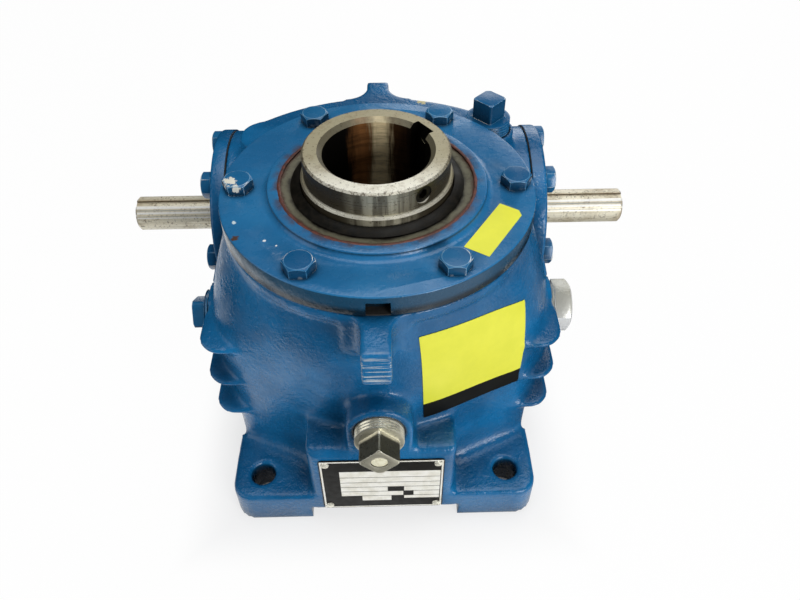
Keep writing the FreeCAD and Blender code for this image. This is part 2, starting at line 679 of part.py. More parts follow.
def fin_outline(top, drop, inset):
    """Outline of a fin on the right side, at a depth below its top and drawn in from its outer edge."""
    z = top - drop
    x = FIN_X - inset
    y = FIN_FRONT_Y + inset
    radius = FIN_CORNER_R - inset
    bend = radius * (1 - math.sqrt(0.5))
    front = V(x - radius, y, z)
    side = V(x, y + radius, z)
    corners = [side, V(x, FIN_BACK_Y, z), V(FIN_ROOT_X, FIN_BACK_Y, z), V(FIN_ROOT_X, y, z), front]
    edges = [Part.Arc(front, V(x - bend, y + bend, z), side).toShape()]
    edges += [Part.makeLine(start, end) for start, end in zip(corners, corners[1:])]
    return Part.Wire(edges)


def make_fins():
    """Three level cooling fins along each side, wedge-shaped, from the front corner to the bearing boss."""
    fins = []
    for top in FIN_TOPS:
        fin = Part.makeLoft([fin_outline(top, drop, inset) for drop, inset in FIN_SECTION], True, True)
        fins += [fin, mirrored(fin, X_AXIS)]
    return fins


def make_base():
    """Four feet with corner legs, the web between them, and the blocks at the front and the back."""
    foot = block(V(FOOT_X, -BASE_Y, 0), V(BASE_X, FOOT_DEPTH - BASE_Y, FOOT_T))
    foot = rounded(foot, FOOT_CORNER_R, lambda edge, middle: upright(edge) and middle.x > BASE_X - 1
                   and middle.y < 1 - BASE_Y)
    foot = rounded(foot, CAST_EDGE_R, lambda edge, middle: middle.z > FOOT_T - 0.1
                   and (middle.x > BASE_X - FOOT_CORNER_R or middle.y < FOOT_CORNER_R - BASE_Y)
                   and middle.y < FOOT_DEPTH - BASE_Y - 1)
    front, corner = CASE_SECTIONS[1][1:]
    rise = [(math.sin(math.radians(a)), math.cos(math.radians(a))) for a in (90, 65, 40, 20, 0)]
    cove = Part.makeLoft([case_section(FOOT_T + COVE_R * (1 - s), front, corner, COVE_R * (1 - c))
                          for s, c in rise], True, True)
    cove = cove.common(block(V(FOOT_X, -BASE_Y, FOOT_T - 2), V(BASE_X, FOOT_DEPTH - BASE_Y, FOOT_T + COVE_R)))
    leg = block(V(LEG_ROOT_X, LEG_FRONT_Y, BASE_RELIEF), V(LEG_X, LEG_BACK_Y, LEG_TOP_Z))
    leg = rounded(leg, LEG_CORNER_R, lambda edge, middle: upright(edge) and middle.x > LEG_X - 1
                  and middle.y < LEG_FRONT_Y + 1)
    web_x = SIDE_X - WEB_INSET[0]
    web_y = BASE_Y - WEB_INSET[1]
    web = block(V(-web_x, -web_y, BASE_RELIEF), V(web_x, web_y, FOOT_T))
    left = PLATE_CENTRE[0] - BLOCK_HALF
    front = block(V(left, -BASE_Y, FOOT_T), V(left + 2 * BLOCK_HALF, BLOCK_BACK_Y, BLOCK_TOP_Z))
    front = rounded(front, BLOCK_EDGE_R, lambda edge, middle: middle.y < 1 - BASE_Y and middle.z > FOOT_T + 1)
    sill = block(V(-FOOT_X, -BASE_Y, BASE_RELIEF), V(FOOT_X, BLOCK_BACK_Y, FOOT_T))
    quarters = [foot, cove, leg]
    for axis in (X_AXIS, Y_AXIS):
        quarters += [mirrored(shape, axis) for shape in quarters]
    blocks = [front, sill]
    return quarters + [web] + blocks + [mirrored(shape, Y_AXIS) for shape in blocks]


def make_plug_bosses():
    """Boss of the drain plug, carried down into the front block, and round bosses of the level plugs."""
    crown = rod(PLUG_BOSS_R, V(DRAIN_X, -CORE_R - 1, DRAIN_Z), V(DRAIN_X, DRAIN_FACE_Y, DRAIN_Z))
    stem = block(V(DRAIN_X - PLUG_BOSS_R, DRAIN_FACE_Y, BLOCK_TOP_Z - 2 * BLOCK_EDGE_R),
                 V(DRAIN_X + PLUG_BOSS_R, -CORE_R - 1, DRAIN_Z))
    bosses = [crown, stem]
    for _, side in SIDES:
        face = V(side * LEVEL_FACE_X, LEVEL_Y, LEVEL_Z)
        bosses.append(rod(PLUG_BOSS_R, V(side * SIDE_X, LEVEL_Y, LEVEL_Z), face))
    return bosses


def make_cavity():
    """Oil space: a round core widened to follow the case's wall as far back as the bearing bosses."""
    core = rod(CORE_R, V(0, 0, CAVITY_FLOOR_Z), V(0, 0, CAVITY_TOP_Z))
    room = block(V(-LEDGE_R, -LEDGE_R, CAVITY_FLOOR_Z), V(LEDGE_R, CORE_BACK_Y, CAVITY_TOP_Z))
    hub = rod(HUB_R, ORIGIN, V(0, 0, HUB_TOP_Z))
    return core.fuse(case_loft(-WALL_T).common(room)).cut(hub)


def housing_hollows():
    """Everything cored or drilled out of the case."""
    cup_z = LOWER_CONE_Z - OUTPUT_BEARING_W
    fill = V(RIGHT_EAR[0], RIGHT_EAR[1], DECK_Z)
    vent = fill - Z_AXIS * (PLUG_IN + FILL_VENT_DROP)
    hollows = [
        make_cavity(),
        rod(OPENING_R, V(0, 0, CAVITY_TOP_Z - 1), V(0, 0, DECK_Z + 1)),
        turned((0, 0), (SEAL_R, 0), (SEAL_R, LOWER_SEAL_Z), (SEAL_STEP_R, LOWER_SEAL_Z),
               (SEAL_STEP_R, LOWER_SEAL_Z + 8), (CUP_BACK_R, LOWER_SEAL_Z + 8), (CUP_BACK_R, cup_z),
               (OUTPUT_CUP_R, cup_z), (OUTPUT_CUP_R, HUB_TOP_Z + 1), (0, HUB_TOP_Z + 1)),
        rod(WORM_CUP_R, WORM_AT - X_AXIS * CAP_X, WORM_AT + X_AXIS * CAP_X),
        rod(PLUG_R, V(DRAIN_X, -OPENING_R, DRAIN_Z), V(DRAIN_X, DRAIN_FACE_Y - 1, DRAIN_Z)),
        rod(PLUG_R, vent - Z_AXIS * 2, fill + Z_AXIS),
        rod(FILL_VENT_R, vent, V(*FILL_VENT_END, vent.z)),
    ]
    for _, side in SIDES:
        hollows.append(along_x(rod(CAP_R + FIN_CAP_GAP, V(0, 0, BOSS_END_X), V(0, 0, 2 * FIN_X)), side))
        face = V(side * LEVEL_FACE_X, LEVEL_Y, LEVEL_Z)
        hollows.append(rod(PLUG_R, V(side * CORE_R, LEVEL_Y, LEVEL_Z), face + X_AXIS * side))
        hollows.append(rod(PLUG_BOSS_R, face, face + X_AXIS * side * LEVEL_SPOT))
        bolt = rod(BOLT_R, V(CAP_BOLT_R, 0, BOSS_END_X - 20), V(CAP_BOLT_R, 0, BOSS_END_X + 1))
        hollows += [along_x(hole, side) for hole in ring_of(bolt, BOLTS, 30)]
        for y in (-FOOT_HOLE_Y, FOOT_HOLE_Y):
            foot = V(side * FOOT_HOLE_X, y, 0)
            hollows.append(rod(FOOT_HOLE_R, foot - Z_AXIS, foot + Z_AXIS * (FOOT_T + 1)))
    bolt = rod(BOLT_R, V(COVER_BOLT_R, 0, DECK_Z - 18), V(COVER_BOLT_R, 0, DECK_Z + 1))
    hollows += ring_of(bolt, BOLTS)
    hollows += [rod(PLATE_SCREW_R, at - Y_AXIS, at + Y_AXIS * PLATE_SCREW_IN) for at in plate_screw_places()]
    return hollows


def make_housing():
    """Cast case: body, tunnel, ledge, lugs, fins, base and bosses, cored out and drilled."""
    pieces = make_body() + make_tunnel() + make_deck_ledge() + make_fins() + make_base() + make_plug_bosses()
    case = moved(make_lug(LUG_ROOT_Y, LUG_FRONT_Y, LUG_FRONT_FLARE), V(LUG_FRONT_X, 0, 0))
    for piece in pieces:
        case = case.fuse(piece)
    return case.cut(housing_hollows())


# Assembly

def make_assembly():
    """Every piece of the reducer, by name."""
    pieces = {"housing": make_housing(), "top_cover": make_top_cover()}
    pieces["cover_gasket"] = flat_ring(GASKET_R, OPENING_R + 0.5, COVER_BOLT_R, DECK_Z, COVER_Z)
    bolt = hex_bolt(BOLT_R, BOLT_AF, BOLT_HEAD_H, COVER_T + GASKET_T + 16)
    pieces["cover_bolts"] = group(ring_of(moved(bolt, V(COVER_BOLT_R, 0, COVER_TOP_Z)), BOLTS))
    pieces["seal_sealant"] = turned((SEAL_R, COVER_TOP_Z + COVER_BOSS_H - 1.0),
                                    (SEAL_R + 1.2, COVER_TOP_Z + COVER_BOSS_H),
                                    (SEAL_R, COVER_TOP_Z + COVER_BOSS_H))

    for end, z, flip in (("upper", UPPER_SEAL_Z, 0), ("lower", LOWER_SEAL_Z, 180)):
        for name, shape in make_seal(SEAL_JOURNAL_R, LIP_OUTER_R, SEAL_R, SEAL_H).items():
            pieces[f"{end}_seal_{name}"] = moved(spun(shape, flip, ORIGIN, X_AXIS), V(0, 0, z))
    for end, z, flip in (("upper", UPPER_CONE_Z, 0), ("lower", LOWER_CONE_Z, 180)):
        bearing = make_bearing(OUTPUT_SEAT_R, OUTPUT_CUP_R, OUTPUT_BEARING_W, OUTPUT_ROLLERS)
        for name, shape in bearing.items():
            pieces[f"{end}_bearing_{name}"] = moved(spun(shape, flip, ORIGIN, X_AXIS), V(0, 0, z))

    cap_bolt = hex_bolt(BOLT_R, BOLT_AF, BOLT_HEAD_H, CAP_T + SHIM_T + 17)
    for end, side in SIDES:
        pieces[f"{end}_bearing_cap"] = along_x(moved(make_cap(), V(0, 0, CAP_X)), side)
        shim = flat_ring(CAP_R - 0.8, WORM_CUP_R, CAP_BOLT_R, BOSS_END_X, CAP_X, 30)
        pieces[f"{end}_cap_shim"] = along_x(shim, side)
        bolts = ring_of(moved(cap_bolt, V(CAP_BOLT_R, 0, CAP_X + CAP_T)), BOLTS, 30)
        pieces[f"{end}_cap_bolts"] = group([along_x(shape, side) for shape in bolts])
        seal_x = CAP_X + CAP_T - WORM_SEAL_H - 0.5
        for name, shape in make_seal(WORM_JOURNAL_R, WORM_LIP_R, WORM_SEAL_R, WORM_SEAL_H).items():
            pieces[f"{end}_worm_seal_{name}"] = along_x(moved(shape, V(0, 0, seal_x)), side)
        bearing = make_bearing(WORM_SEAT_R, WORM_CUP_R, WORM_BEARING_W, WORM_ROLLERS)
        for name, shape in bearing.items():
            pieces[f"{end}_worm_bearing_{name}"] = along_x(moved(shape, V(0, 0, WORM_CONE_X)), side)

    drain = pipe_plug(square_head(SQUARE_AF, *DRAIN_HEAD), DRAIN_HEAD[0])
    end = V(0, 0, DRAIN_HEAD[1])
    drain = drain.cut(rod(DRAIN_CORE_R, end - Z_AXIS * DRAIN_CORE_DEPTH, end + Z_AXIS))
    pieces["drain_plug"] = moved(spun(drain, 90, ORIGIN, X_AXIS), V(DRAIN_X, DRAIN_FACE_Y, DRAIN_Z))
    level = {"left": pipe_plug(square_head(SQUARE_AF, *LEVEL_LEFT_HEAD), LEVEL_LEFT_HEAD[0]),
             "right": pipe_plug(hex_head(HEX_AF, *LEVEL_RIGHT_HEAD), LEVEL_RIGHT_HEAD[0])}
    for end, side in SIDES:
        laid = spun(spun(level[end], 90 * side, ORIGIN, Y_AXIS), LEVEL_TURN, ORIGIN, X_AXIS)
        pieces[f"level_plug_{end}"] = moved(laid, V(side * LEVEL_FACE_X, LEVEL_Y, LEVEL_Z))
    fill = pipe_plug(square_head(FILL_AF, *FILL_HEAD), FILL_HEAD[0])
    pieces["fill_plug"] = moved(fill, V(RIGHT_EAR[0], RIGHT_EAR[1], DECK_Z))
    pieces["nameplate"], pieces["nameplate_screws"] = make_nameplate()

    pieces["hollow_shaft"] = make_hollow_shaft()
    pieces["collar_set_screws"] = make_set_screws()
    pieces["worm_gear"] = make_worm_gear()
    pieces["gear_bolts"] = make_gear_bolts()
    pieces["worm_shaft"] = make_worm_shaft()
    return pieces


os.makedirs("parts", exist_ok=True)
for node, shape in make_assembly().items():
    if not shape.isValid():
        print(node, "is not a valid shape")
    print(f"{node}: {len(shape.Solids)} solids, {shape.Volume:.0f} mm3")
    shape.exportStep(f"parts/{node}.step")
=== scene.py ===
"""Dresses an upright hollow-shaft worm gear reducer and sets it in a plain studio.

Lengths are in metres, written as millimetres times MM. Points and distances from them are in millimetres.
"""

import json
import logging
import math
from collections.abc import Callable, Iterator
from contextlib import contextmanager
from dataclasses import dataclass
from enum import Enum

import bpy
import numpy as np
from mathutils import Matrix, Vector


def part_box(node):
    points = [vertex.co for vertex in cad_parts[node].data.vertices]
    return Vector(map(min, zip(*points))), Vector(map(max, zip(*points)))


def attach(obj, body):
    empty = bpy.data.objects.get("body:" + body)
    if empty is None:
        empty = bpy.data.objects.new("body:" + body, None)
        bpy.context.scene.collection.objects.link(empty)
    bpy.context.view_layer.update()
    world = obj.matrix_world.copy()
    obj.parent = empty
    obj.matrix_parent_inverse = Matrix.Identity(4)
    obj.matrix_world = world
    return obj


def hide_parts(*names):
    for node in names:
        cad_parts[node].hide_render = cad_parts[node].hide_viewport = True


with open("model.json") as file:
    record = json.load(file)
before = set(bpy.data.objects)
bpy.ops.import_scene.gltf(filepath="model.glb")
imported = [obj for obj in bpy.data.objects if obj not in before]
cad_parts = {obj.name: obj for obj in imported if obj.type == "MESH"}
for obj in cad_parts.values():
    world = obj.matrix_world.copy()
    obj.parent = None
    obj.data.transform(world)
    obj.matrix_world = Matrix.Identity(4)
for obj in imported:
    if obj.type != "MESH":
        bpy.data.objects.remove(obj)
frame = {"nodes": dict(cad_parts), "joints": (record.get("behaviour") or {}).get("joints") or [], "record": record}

logging.basicConfig(level=logging.INFO, format="%(levelname)s %(message)s")
LOG = logging.getLogger("reducer")

MM = 0.001
MERGE = 2e-6
SMOOTH_UNDER = math.radians(40)
SHARP_OVER = math.radians(28)
FLAT_UNDER = math.radians(0.6)
CASING = "casing"
Colour = tuple[float, float, float]
Point = tuple[float, float, float]
Span = tuple[float, float]
Socket = bpy.types.NodeSocket
Material = bpy.types.Material
Mesh = bpy.types.Mesh
Piece = bpy.types.Object


class Side(Enum):
    """The two ends of the worm shaft."""

    LEFT = "left"
    RIGHT = "right"


class Slot(Enum):
    """Material slots of the record, named for the new pieces."""

    CASTING = "blue_enamel_casting"
    PAINTED_STEEL = "blue_enamel_steel"
    SEALANT = "red_sealant"
    RUBBER = "seal_rubber"
    PLATE = "nameplate_metal"
    STEEL = "plain_steel"
    ZINC = "bright_zinc"


# Places read from the frame

def corners(node: str) -> tuple[Point, Point]:
    """Find the box of a solid.

    Args:
        node: name of the solid.

    Returns:
        Its lowest and highest corner in metres, to the micrometre.
    """
    low, high = (tuple(round(value, 6) for value in corner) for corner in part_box(node))
    return low, high


def foot_hole_place() -> Span:
    """Find a foot hole from the record's bolt pattern, which is centred on the origin.

    Returns:
        X and Y of the hole at the back right, in millimetres.
    """
    dims = next(mount["dims"] for mount in frame["record"]["mounts"] if mount["name"] == "foot_holes")
    return dims["spacing_x_mm"] / 2, dims["spacing_y_mm"] / 2


def joint_place(name: str) -> Point:
    """Find a joint of the frame.

    Args:
        name: name of the joint.

    Returns:
        Its place in millimetres.
    """
    x, y, z = next(joint["pos_m"] for joint in frame["joints"] if joint["name"] == name)
    return x / MM, y / MM, z / MM


# Node graphs

class Graph:
    """A material's node tree with short words for the nodes used here."""

    def __init__(self, name: str) -> None:
        """Start an empty material.

        Args:
            name: name of the material.
        """
        self.material = bpy.data.materials.new(name)
        self.material.use_nodes = True
        self.tree = self.material.node_tree
        self.tree.nodes.clear()
        self.output = self.node("OutputMaterial")
        self.place = self.node("TexCoord").outputs["Object"]
        self.geometry = self.node("NewGeometry")

    def feed(self, socket: Socket, value: object) -> None:
        """Link a socket to another one, or set its constant.

        Args:
            socket: the input.
            value: another socket, a number, a colour or a vector.
        """
        if isinstance(value, Socket):
            self.tree.links.new(value, socket)
        elif socket.type == "RGBA":
            socket.default_value = (*value, 1.0)
        else:
            socket.default_value = value

    def node(self, kind: str, settings: dict[str, object] | None = None, **inputs: object) -> bpy.types.Node:
        """Add a node and feed its inputs.

        Args:
            kind: node type, without its ShaderNode prefix.
            settings: the node's own settings, by name.
            inputs: values or sockets by input name, with _ for a space.

        Returns:
            The new node.
        """
        node = self.tree.nodes.new("ShaderNode" + kind)
        for key, value in (settings or {}).items():
            setattr(node, key, value)
        for key, value in inputs.items():
            self.feed(node.inputs[key.replace("_", " ")], value)
        return node

    def noise(self, scale: float, detail: float = 3.0, rough: float = 0.55,
              stretch: Point | None = None) -> Socket:
        """Noise in 0 to 1 on object coordinates.

        Args:
            scale: features per metre.
            detail: octaves.
            rough: weight of the finer octaves.
            stretch: scale of each axis before the noise.

        Returns:
            The factor.
        """
        where = self.place
        if stretch:
            where = self.node("Mapping", Vector=where, Scale=stretch).outputs[0]
        return self.node("TexNoise", Vector=where, Scale=scale, Detail=detail, Roughness=rough).outputs["Fac"]

    def cells(self, scale: float) -> Socket:
        """Distance to the middle of scattered cells."""
        return self.node("TexVoronoi", Vector=self.place, Scale=scale).outputs["Distance"]

    def ramp(self, value: Socket, low: float, high: float, start: float = 0.0, end: float = 1.0) -> Socket:
        """Smooth step of a value between two limits.

        Args:
            value: what is read.
            low: value at which the step starts.
            high: value at which the step ends.
            start: result at low.
            end: result at high.

        Returns:
            The result.
        """
        step = self.node("MapRange", {"interpolation_type": "SMOOTHSTEP"}, Value=value, From_Min=low,
                         From_Max=high, To_Min=start, To_Max=end)
        return step.outputs["Result"]

    def near(self, value: Socket, middle: float, inner: float, outer: float, most: float = 1.0) -> Socket:
        """Weight that is greatest where a value is close to a middle one.

        Args:
            value: what is read.
            middle: value at the middle.
            inner: distance from the middle at which the weight starts to fall.
            outer: distance at which it reaches 0.
            most: weight at the middle.

        Returns:
            The weight.
        """
        away = self.sums("ABSOLUTE", self.sums("SUBTRACT", value, middle))
        return self.ramp(away, inner, outer, most, 0.0)

    def sums(self, operation: str, first: object, second: object = 0.0, clamp: bool = False) -> Socket:
        """Arithmetic on two values.

        Args:
            operation: name of the operation.
            first: first value.
            second: second value.
            clamp: whether the result is kept in 0 to 1.

        Returns:
            The result.
        """
        node = self.node("Math", {"operation": operation, "use_clamp": clamp})
        for socket, value in zip(node.inputs, (first, second)):
            self.feed(socket, value)
        return node.outputs[0]

    def times(self, first: object, second: object) -> Socket:
        """Product of two values, kept in 0 to 1."""
        return self.sums("MULTIPLY", first, second, clamp=True)

    def mix(self, factor: object, first: object, second: object) -> Socket:
        """Blend of two colours.

        Args:
            factor: weight of the second colour.
            first: first colour.
            second: second colour.

        Returns:
            The colour.
        """
        node = self.node("Mix", {"data_type": "RGBA"})
        for name, value in (("Factor_Float", factor), ("A_Color", first), ("B_Color", second)):
            self.feed(next(s for s in node.inputs if s.identifier == name), value)
        return next(s for s in node.outputs if s.identifier == "Result_Color")

    def axis(self, name: str) -> Socket:
        """One of the object coordinates, by its letter."""
        return self.node("SeparateXYZ", Vector=self.place).outputs[name]

    def facing(self, name: str) -> Socket:
        """One part of the surface's own normal, by its letter."""
        return self.node("SeparateXYZ", Vector=self.geometry.outputs["Normal"]).outputs[name]

    def upright(self) -> Socket:
        """Weight of 1 on upright faces."""
        return self.near(self.facing("Z"), 0.0, 0.2, 0.5)

    def distance(self, place: Socket, point: Point = (0.0, 0.0, 0.0)) -> Socket:
        """Distance of a place from a point.

        Args:
            place: coordinates.
            point: the point, in the same unit.

        Returns:
            The distance.
        """
        node = self.node("VectorMath", {"operation": "DISTANCE"})
        for socket, value in zip(node.inputs, (place, point)):
            self.feed(socket, value)
        return node.outputs["Value"]

    def reach(self, centre: Point, place: Socket | None = None) -> Socket:
        """Distance from a point in millimetres.

        Args:
            centre: the point in millimetres.
            place: coordinates other than the object's.

        Returns:
            The distance in millimetres.
        """
        middle = tuple(value * MM for value in centre)
        return self.sums("MULTIPLY", self.distance(place or self.place, middle), 1 / MM)

    def radius(self) -> Socket:
        """Distance from the upright axis in metres."""
        return self.distance(self.node("CombineXYZ", X=self.axis("X"), Y=self.axis("Y")).outputs[0])

    def off_worm(self, axis: Point) -> Socket:
        """Distance in millimetres from a level axis along X, given by its point at X = 0."""
        return self.reach(axis, self.node("CombineXYZ", Y=self.axis("Y"), Z=self.axis("Z")).outputs[0])

    def bump(self, height: Socket, strength: float, depth: float, under: Socket | None = None) -> Socket:
        """Bumped normal.

        Args:
            height: relief in 0 to 1.
            strength: weight of the relief.
            depth: real depth in metres.
            under: another bumped normal that this one adds to.

        Returns:
            The normal.
        """
        node = self.node("Bump", Height=height, Strength=strength, Distance=depth)
        if under:
            self.feed(node.inputs["Normal"], under)
        return node.outputs["Normal"]

    def shade(self, **inputs: object) -> Material:
        """Finish with one principled surface.

        Args:
            inputs: values or sockets by input name, with _ for a space.

        Returns:
            The material.
        """
        surface = self.node("BsdfPrincipled", **inputs)
        self.feed(self.output.inputs["Surface"], surface.outputs["BSDF"])
        return self.material


# Finishes

@dataclass(frozen=True)
class Spot:
    """A ragged place where the paint is chipped or stained."""

    at: Point
    size: float
    colour: Colour

    def mask(self, g: Graph) -> Socket:
        """Weight of the spot.

        Args:
            g: the paint's graph.

        Returns:
            The weight, 1 on the spot.
        """
        ragged = g.sums("MULTIPLY", g.noise(300.0, 4.0, 0.7), self.size * 2.4)
        return g.ramp(g.sums("ADD", g.reach(self.at), ragged), self.size * 1.80, self.size * 1.95, 1.0, 0.0)


@dataclass(frozen=True)
class Patch:
    """A round patch of fine marks on the paint, used for scuffs and for specks of painted highlight."""

    at: Point
    size: float

    def mask(self, g: Graph, marks: Socket, most: float) -> Socket:
        """Weight of the marks in the patch.

        Args:
            g: the paint's graph.
            marks: the marks, in 0 to 1.
            most: their weight in the middle.

        Returns:
            The weight.
        """
        return g.times(marks, g.ramp(g.reach(self.at), self.size * 0.5, self.size, most, 0.0))


@dataclass(frozen=True)
class Enamel:
    """Glossy blue enamel, brushed or sprayed over the metal."""

    name: str
    colour: Colour = (0.006, 0.140, 0.340)
    shade: Colour = (0.003, 0.088, 0.225)
    # On the edge finish the dust colour is white and paints glints.
    dust: Colour = (0.20, 0.25, 0.27)
    chip: Colour = (0.66, 0.66, 0.60)
    pit: Colour = (0.006, 0.035, 0.09)
    # Painted shade: hollow is the colour laid where the surface is closed in.
    hollow: Colour = (0.002, 0.014, 0.032)
    # Painted shade: side is laid on upright faces, weighted by sides.
    side: Colour = (0.003, 0.020, 0.045)
    # Painted highlight: speck is the colour of pale specks that stand in for a lamp's reflection.
    speck: Colour = (0.50, 0.60, 0.62)
    cast: float = 0.55
    dust_and_glint: float = 0.10
    wear: float = 0.0
    sides: float = 0.0
    hollow_shade: float = 0.9
    hollow_shade_reach: float = 40 * MM
    ior: float = 1.45
    spots: tuple[Spot, ...] = ()
    scuffs: tuple[Patch, ...] = ()
    glint_patches: tuple[Patch, ...] = ()

    def coat(self, g: Graph) -> Socket:
        """Colour of the paint with its dust, which the edge finish uses for painted glints, its pits, and painted
        shade in the hollows.

        Args:
            g: the material's graph.

        Returns:
            The colour.
        """
        colour = g.mix(g.ramp(g.noise(24.0), 0.35, 0.68), self.shade, self.colour)
        dust = g.times(g.ramp(g.noise(60.0, 5.0, 0.7), 0.50, 0.78), self.dust_and_glint)
        colour = g.mix(dust, colour, self.dust)
        pits = g.times(g.ramp(g.cells(260.0), 0.05, 0.16, 1.0, 0.0), g.ramp(g.noise(35.0), 0.60, 0.68))
        colour = g.mix(g.times(pits, 0.8), colour, self.pit)
        # Painted shade: darker where ambient occlusion finds the surface closed in.
        open_air = g.node("AmbientOcclusion", Distance=self.hollow_shade_reach).outputs["AO"]
        return g.mix(g.ramp(open_air, 0.25, 0.80, self.hollow_shade, 0.0), colour, self.hollow)

    def sided(self, g: Graph, colour: Socket) -> Socket:
        """Colour with painted shade on the upright faces.

        Args:
            g: the material's graph.
            colour: colour of the paint.

        Returns:
            The colour.
        """
        if self.sides == 0:
            return colour
        # Painted shade on the upright faces.
        return g.mix(g.times(g.upright(), self.sides), colour, self.side)

    def make(self) -> Material:
        """Build the material.

        Returns:
            The material.
        """
        g = Graph(self.name)
        colour = self.sided(g, self.coat(g))
        rough = g.ramp(g.noise(90.0, 4.0), 0.3, 0.75, 0.20, 0.36)
        if self.wear > 0:
            edge = g.ramp(g.geometry.outputs["Pointiness"], 0.53, 0.60)
            edge = g.times(edge, g.ramp(g.noise(240.0, 4.0, 0.7), 0.54, 0.64))
            colour = g.mix(g.times(edge, self.wear), colour, self.chip)
        for spot in self.spots:
            mask = spot.mask(g)
            colour = g.mix(mask, colour, spot.colour)
            rough = g.sums("MAXIMUM", rough, g.times(mask, 0.6))
        for scuff in self.scuffs:
            lines = g.ramp(g.noise(760.0, 3.0, 0.6, (0.03, 1.0, 1.0)), 0.53, 0.60)
            colour = g.mix(scuff.mask(g, lines, 0.65), colour, self.chip)
        # Painted highlight: pale specks in a patch stand in for a lamp's reflection on the textured paint.
        for speckle in self.glint_patches:
            glint_specks = g.ramp(g.noise(900.0, 3.0, 0.7), 0.60, 0.66)
            colour = g.mix(speckle.mask(g, glint_specks, 0.85), colour, self.speck)
        peel = g.bump(g.noise(400.0, 2.0), self.cast, 0.6 * MM)
        skin = g.bump(g.noise(950.0), self.cast * 0.8, 0.3 * MM, peel)
        return g.shade(Base_Color=colour, Roughness=rough, Normal=skin, IOR=self.ior)


@dataclass(frozen=True)
class CoverEnamel(Enamel):
    """Enamel of the cover, with its rim painted dark as shade and lighter towards the left, a painted shadow along
    the joint, and a rusty stain round the seal.
    """

    rim: float = 0.8
    rim_left: Colour = (0.070, 0.115, 0.135)
    rim_shade: Colour = (0.008, 0.036, 0.062)
    left_x: Span = (-80 * MM, -20 * MM)
    joint_shadow: Colour = (0.004, 0.010, 0.016)
    joint_shadow_z: Span = (168.5 * MM, 172.5 * MM)
    stain: Colour = (0.075, 0.040, 0.028)
    stain_r: Span = (52.5 * MM, 57.5 * MM)

    def sided(self, g: Graph, colour: Socket) -> Socket:
        """Colour with the rim painted dark as shade and lighter and mottled towards the left, a painted shadow in
        black along its foot, and the stain.

        Args:
            g: the material's graph.
            colour: colour of the paint.

        Returns:
            The colour.
        """
        upright = g.upright()
        left = g.times(g.ramp(g.axis("X"), *self.left_x, 1.0, 0.0),
                       g.ramp(g.noise(70.0, 5.0, 0.65), 0.30, 0.60, 0.35, 1.0))
        # Painted shade: the upright faces are laid dark, lighter and mottled towards the left.
        colour = g.mix(g.times(upright, self.rim), colour, g.mix(left, self.rim_shade, self.rim_left))
        # Painted shadow: the foot of the upright faces is laid almost black along the joint.
        low = g.times(upright, g.ramp(g.axis("Z"), *self.joint_shadow_z, 1.0, 0.0))
        colour = g.mix(g.times(low, 0.92), colour, self.joint_shadow)
        stain = g.times(g.ramp(g.radius(), *self.stain_r, 0.75, 0.0), g.ramp(g.noise(120.0, 4.0), 0.35, 0.65))
        return g.mix(stain, colour, self.stain)


@dataclass(frozen=True)
class PaintedReflection:
    """A painted reflection: a tone on the part of a metal surface that faces up by a given share."""

    facing: float
    width: float
    colour: Colour


@dataclass(frozen=True)
class Metal:
    """Bare metal with stains and fine speckle."""

    name: str
    colour: Colour
    stain: Colour
    speck: Colour = (0.05, 0.035, 0.02)
    rough: float = 0.32
    stained: float = 0.5
    specked: float = 0.4
    lay: Point = (1.0, 1.0, 1.0)
    relief: float = 0.15
    metal: float = 1.0
    painted_reflections: tuple[PaintedReflection, ...] = ()

    def toned(self, g: Graph, colour: Socket) -> Socket:
        """Colour with the painted reflections on it.

        Args:
            g: the material's graph.
            colour: colour of the stained metal.

        Returns:
            The colour.
        """
        for reflection in self.painted_reflections:
            near = g.near(g.facing("Z"), reflection.facing, reflection.width * 0.4, reflection.width)
            colour = g.mix(g.times(near, 0.75), colour, reflection.colour)
        return colour

    def make(self) -> Material:
        """Build the material.

        Returns:
            The material.
        """
        g = Graph(self.name)
        stain = g.times(g.ramp(g.noise(45.0, 6.0, 0.65), 0.46, 0.72), self.stained)
        speck = g.times(g.ramp(g.noise(620.0, 3.0, 0.75), 0.53, 0.66), self.specked)
        speck = g.times(speck, g.ramp(g.noise(80.0), 0.34, 0.52))
        colour = self.toned(g, g.mix(speck, g.mix(stain, self.colour, self.stain), self.speck))
        lines = g.noise(500.0, 3.0, 0.6, self.lay)
        turned = g.ramp(lines, 0.2, 0.8, self.rough * 0.8, self.rough * 1.25)
        rough = g.sums("ADD", turned, g.times(stain, 0.25))
        normal = g.bump(lines, self.relief, 0.2 * MM)
        metal = g.ramp(g.sums("MAXIMUM", stain, speck), 0.2, 0.9, self.metal, self.metal * 0.35)
        return g.shade(Base_Color=colour, Metallic=metal, Roughness=rough, Normal=normal)


@dataclass(frozen=True)
class InputSteel(Metal):
    """Turned steel of the worm shaft, with stained bands and dark walls in its keyseats."""

    banded: float = 0.3
    axis: Point = joint_place("worm_spin")
    keyseat_floor: float = 9.0
    keyseat_lip: float = 10.6

    def toned(self, g: Graph, colour: Socket) -> Socket:
        """Colour with the bands, the keyseats' walls and the painted reflections.

        Args:
            g: the material's graph.
            colour: colour of the stained metal.

        Returns:
            The colour.
        """
        bands = g.ramp(g.noise(260.0, 3.0, 0.6, (0.02, 1.0, 1.0)), 0.47, 0.60)
        colour = g.mix(g.times(bands, self.banded), colour, self.stain)
        off = g.off_worm(self.axis)
        wall = g.times(g.ramp(off, self.keyseat_floor, self.keyseat_floor + 0.2),
                       g.ramp(off, self.keyseat_lip - 0.6, self.keyseat_lip, 1.0, 0.0))
        return super().toned(g, g.mix(g.times(wall, 0.92), colour, self.speck))


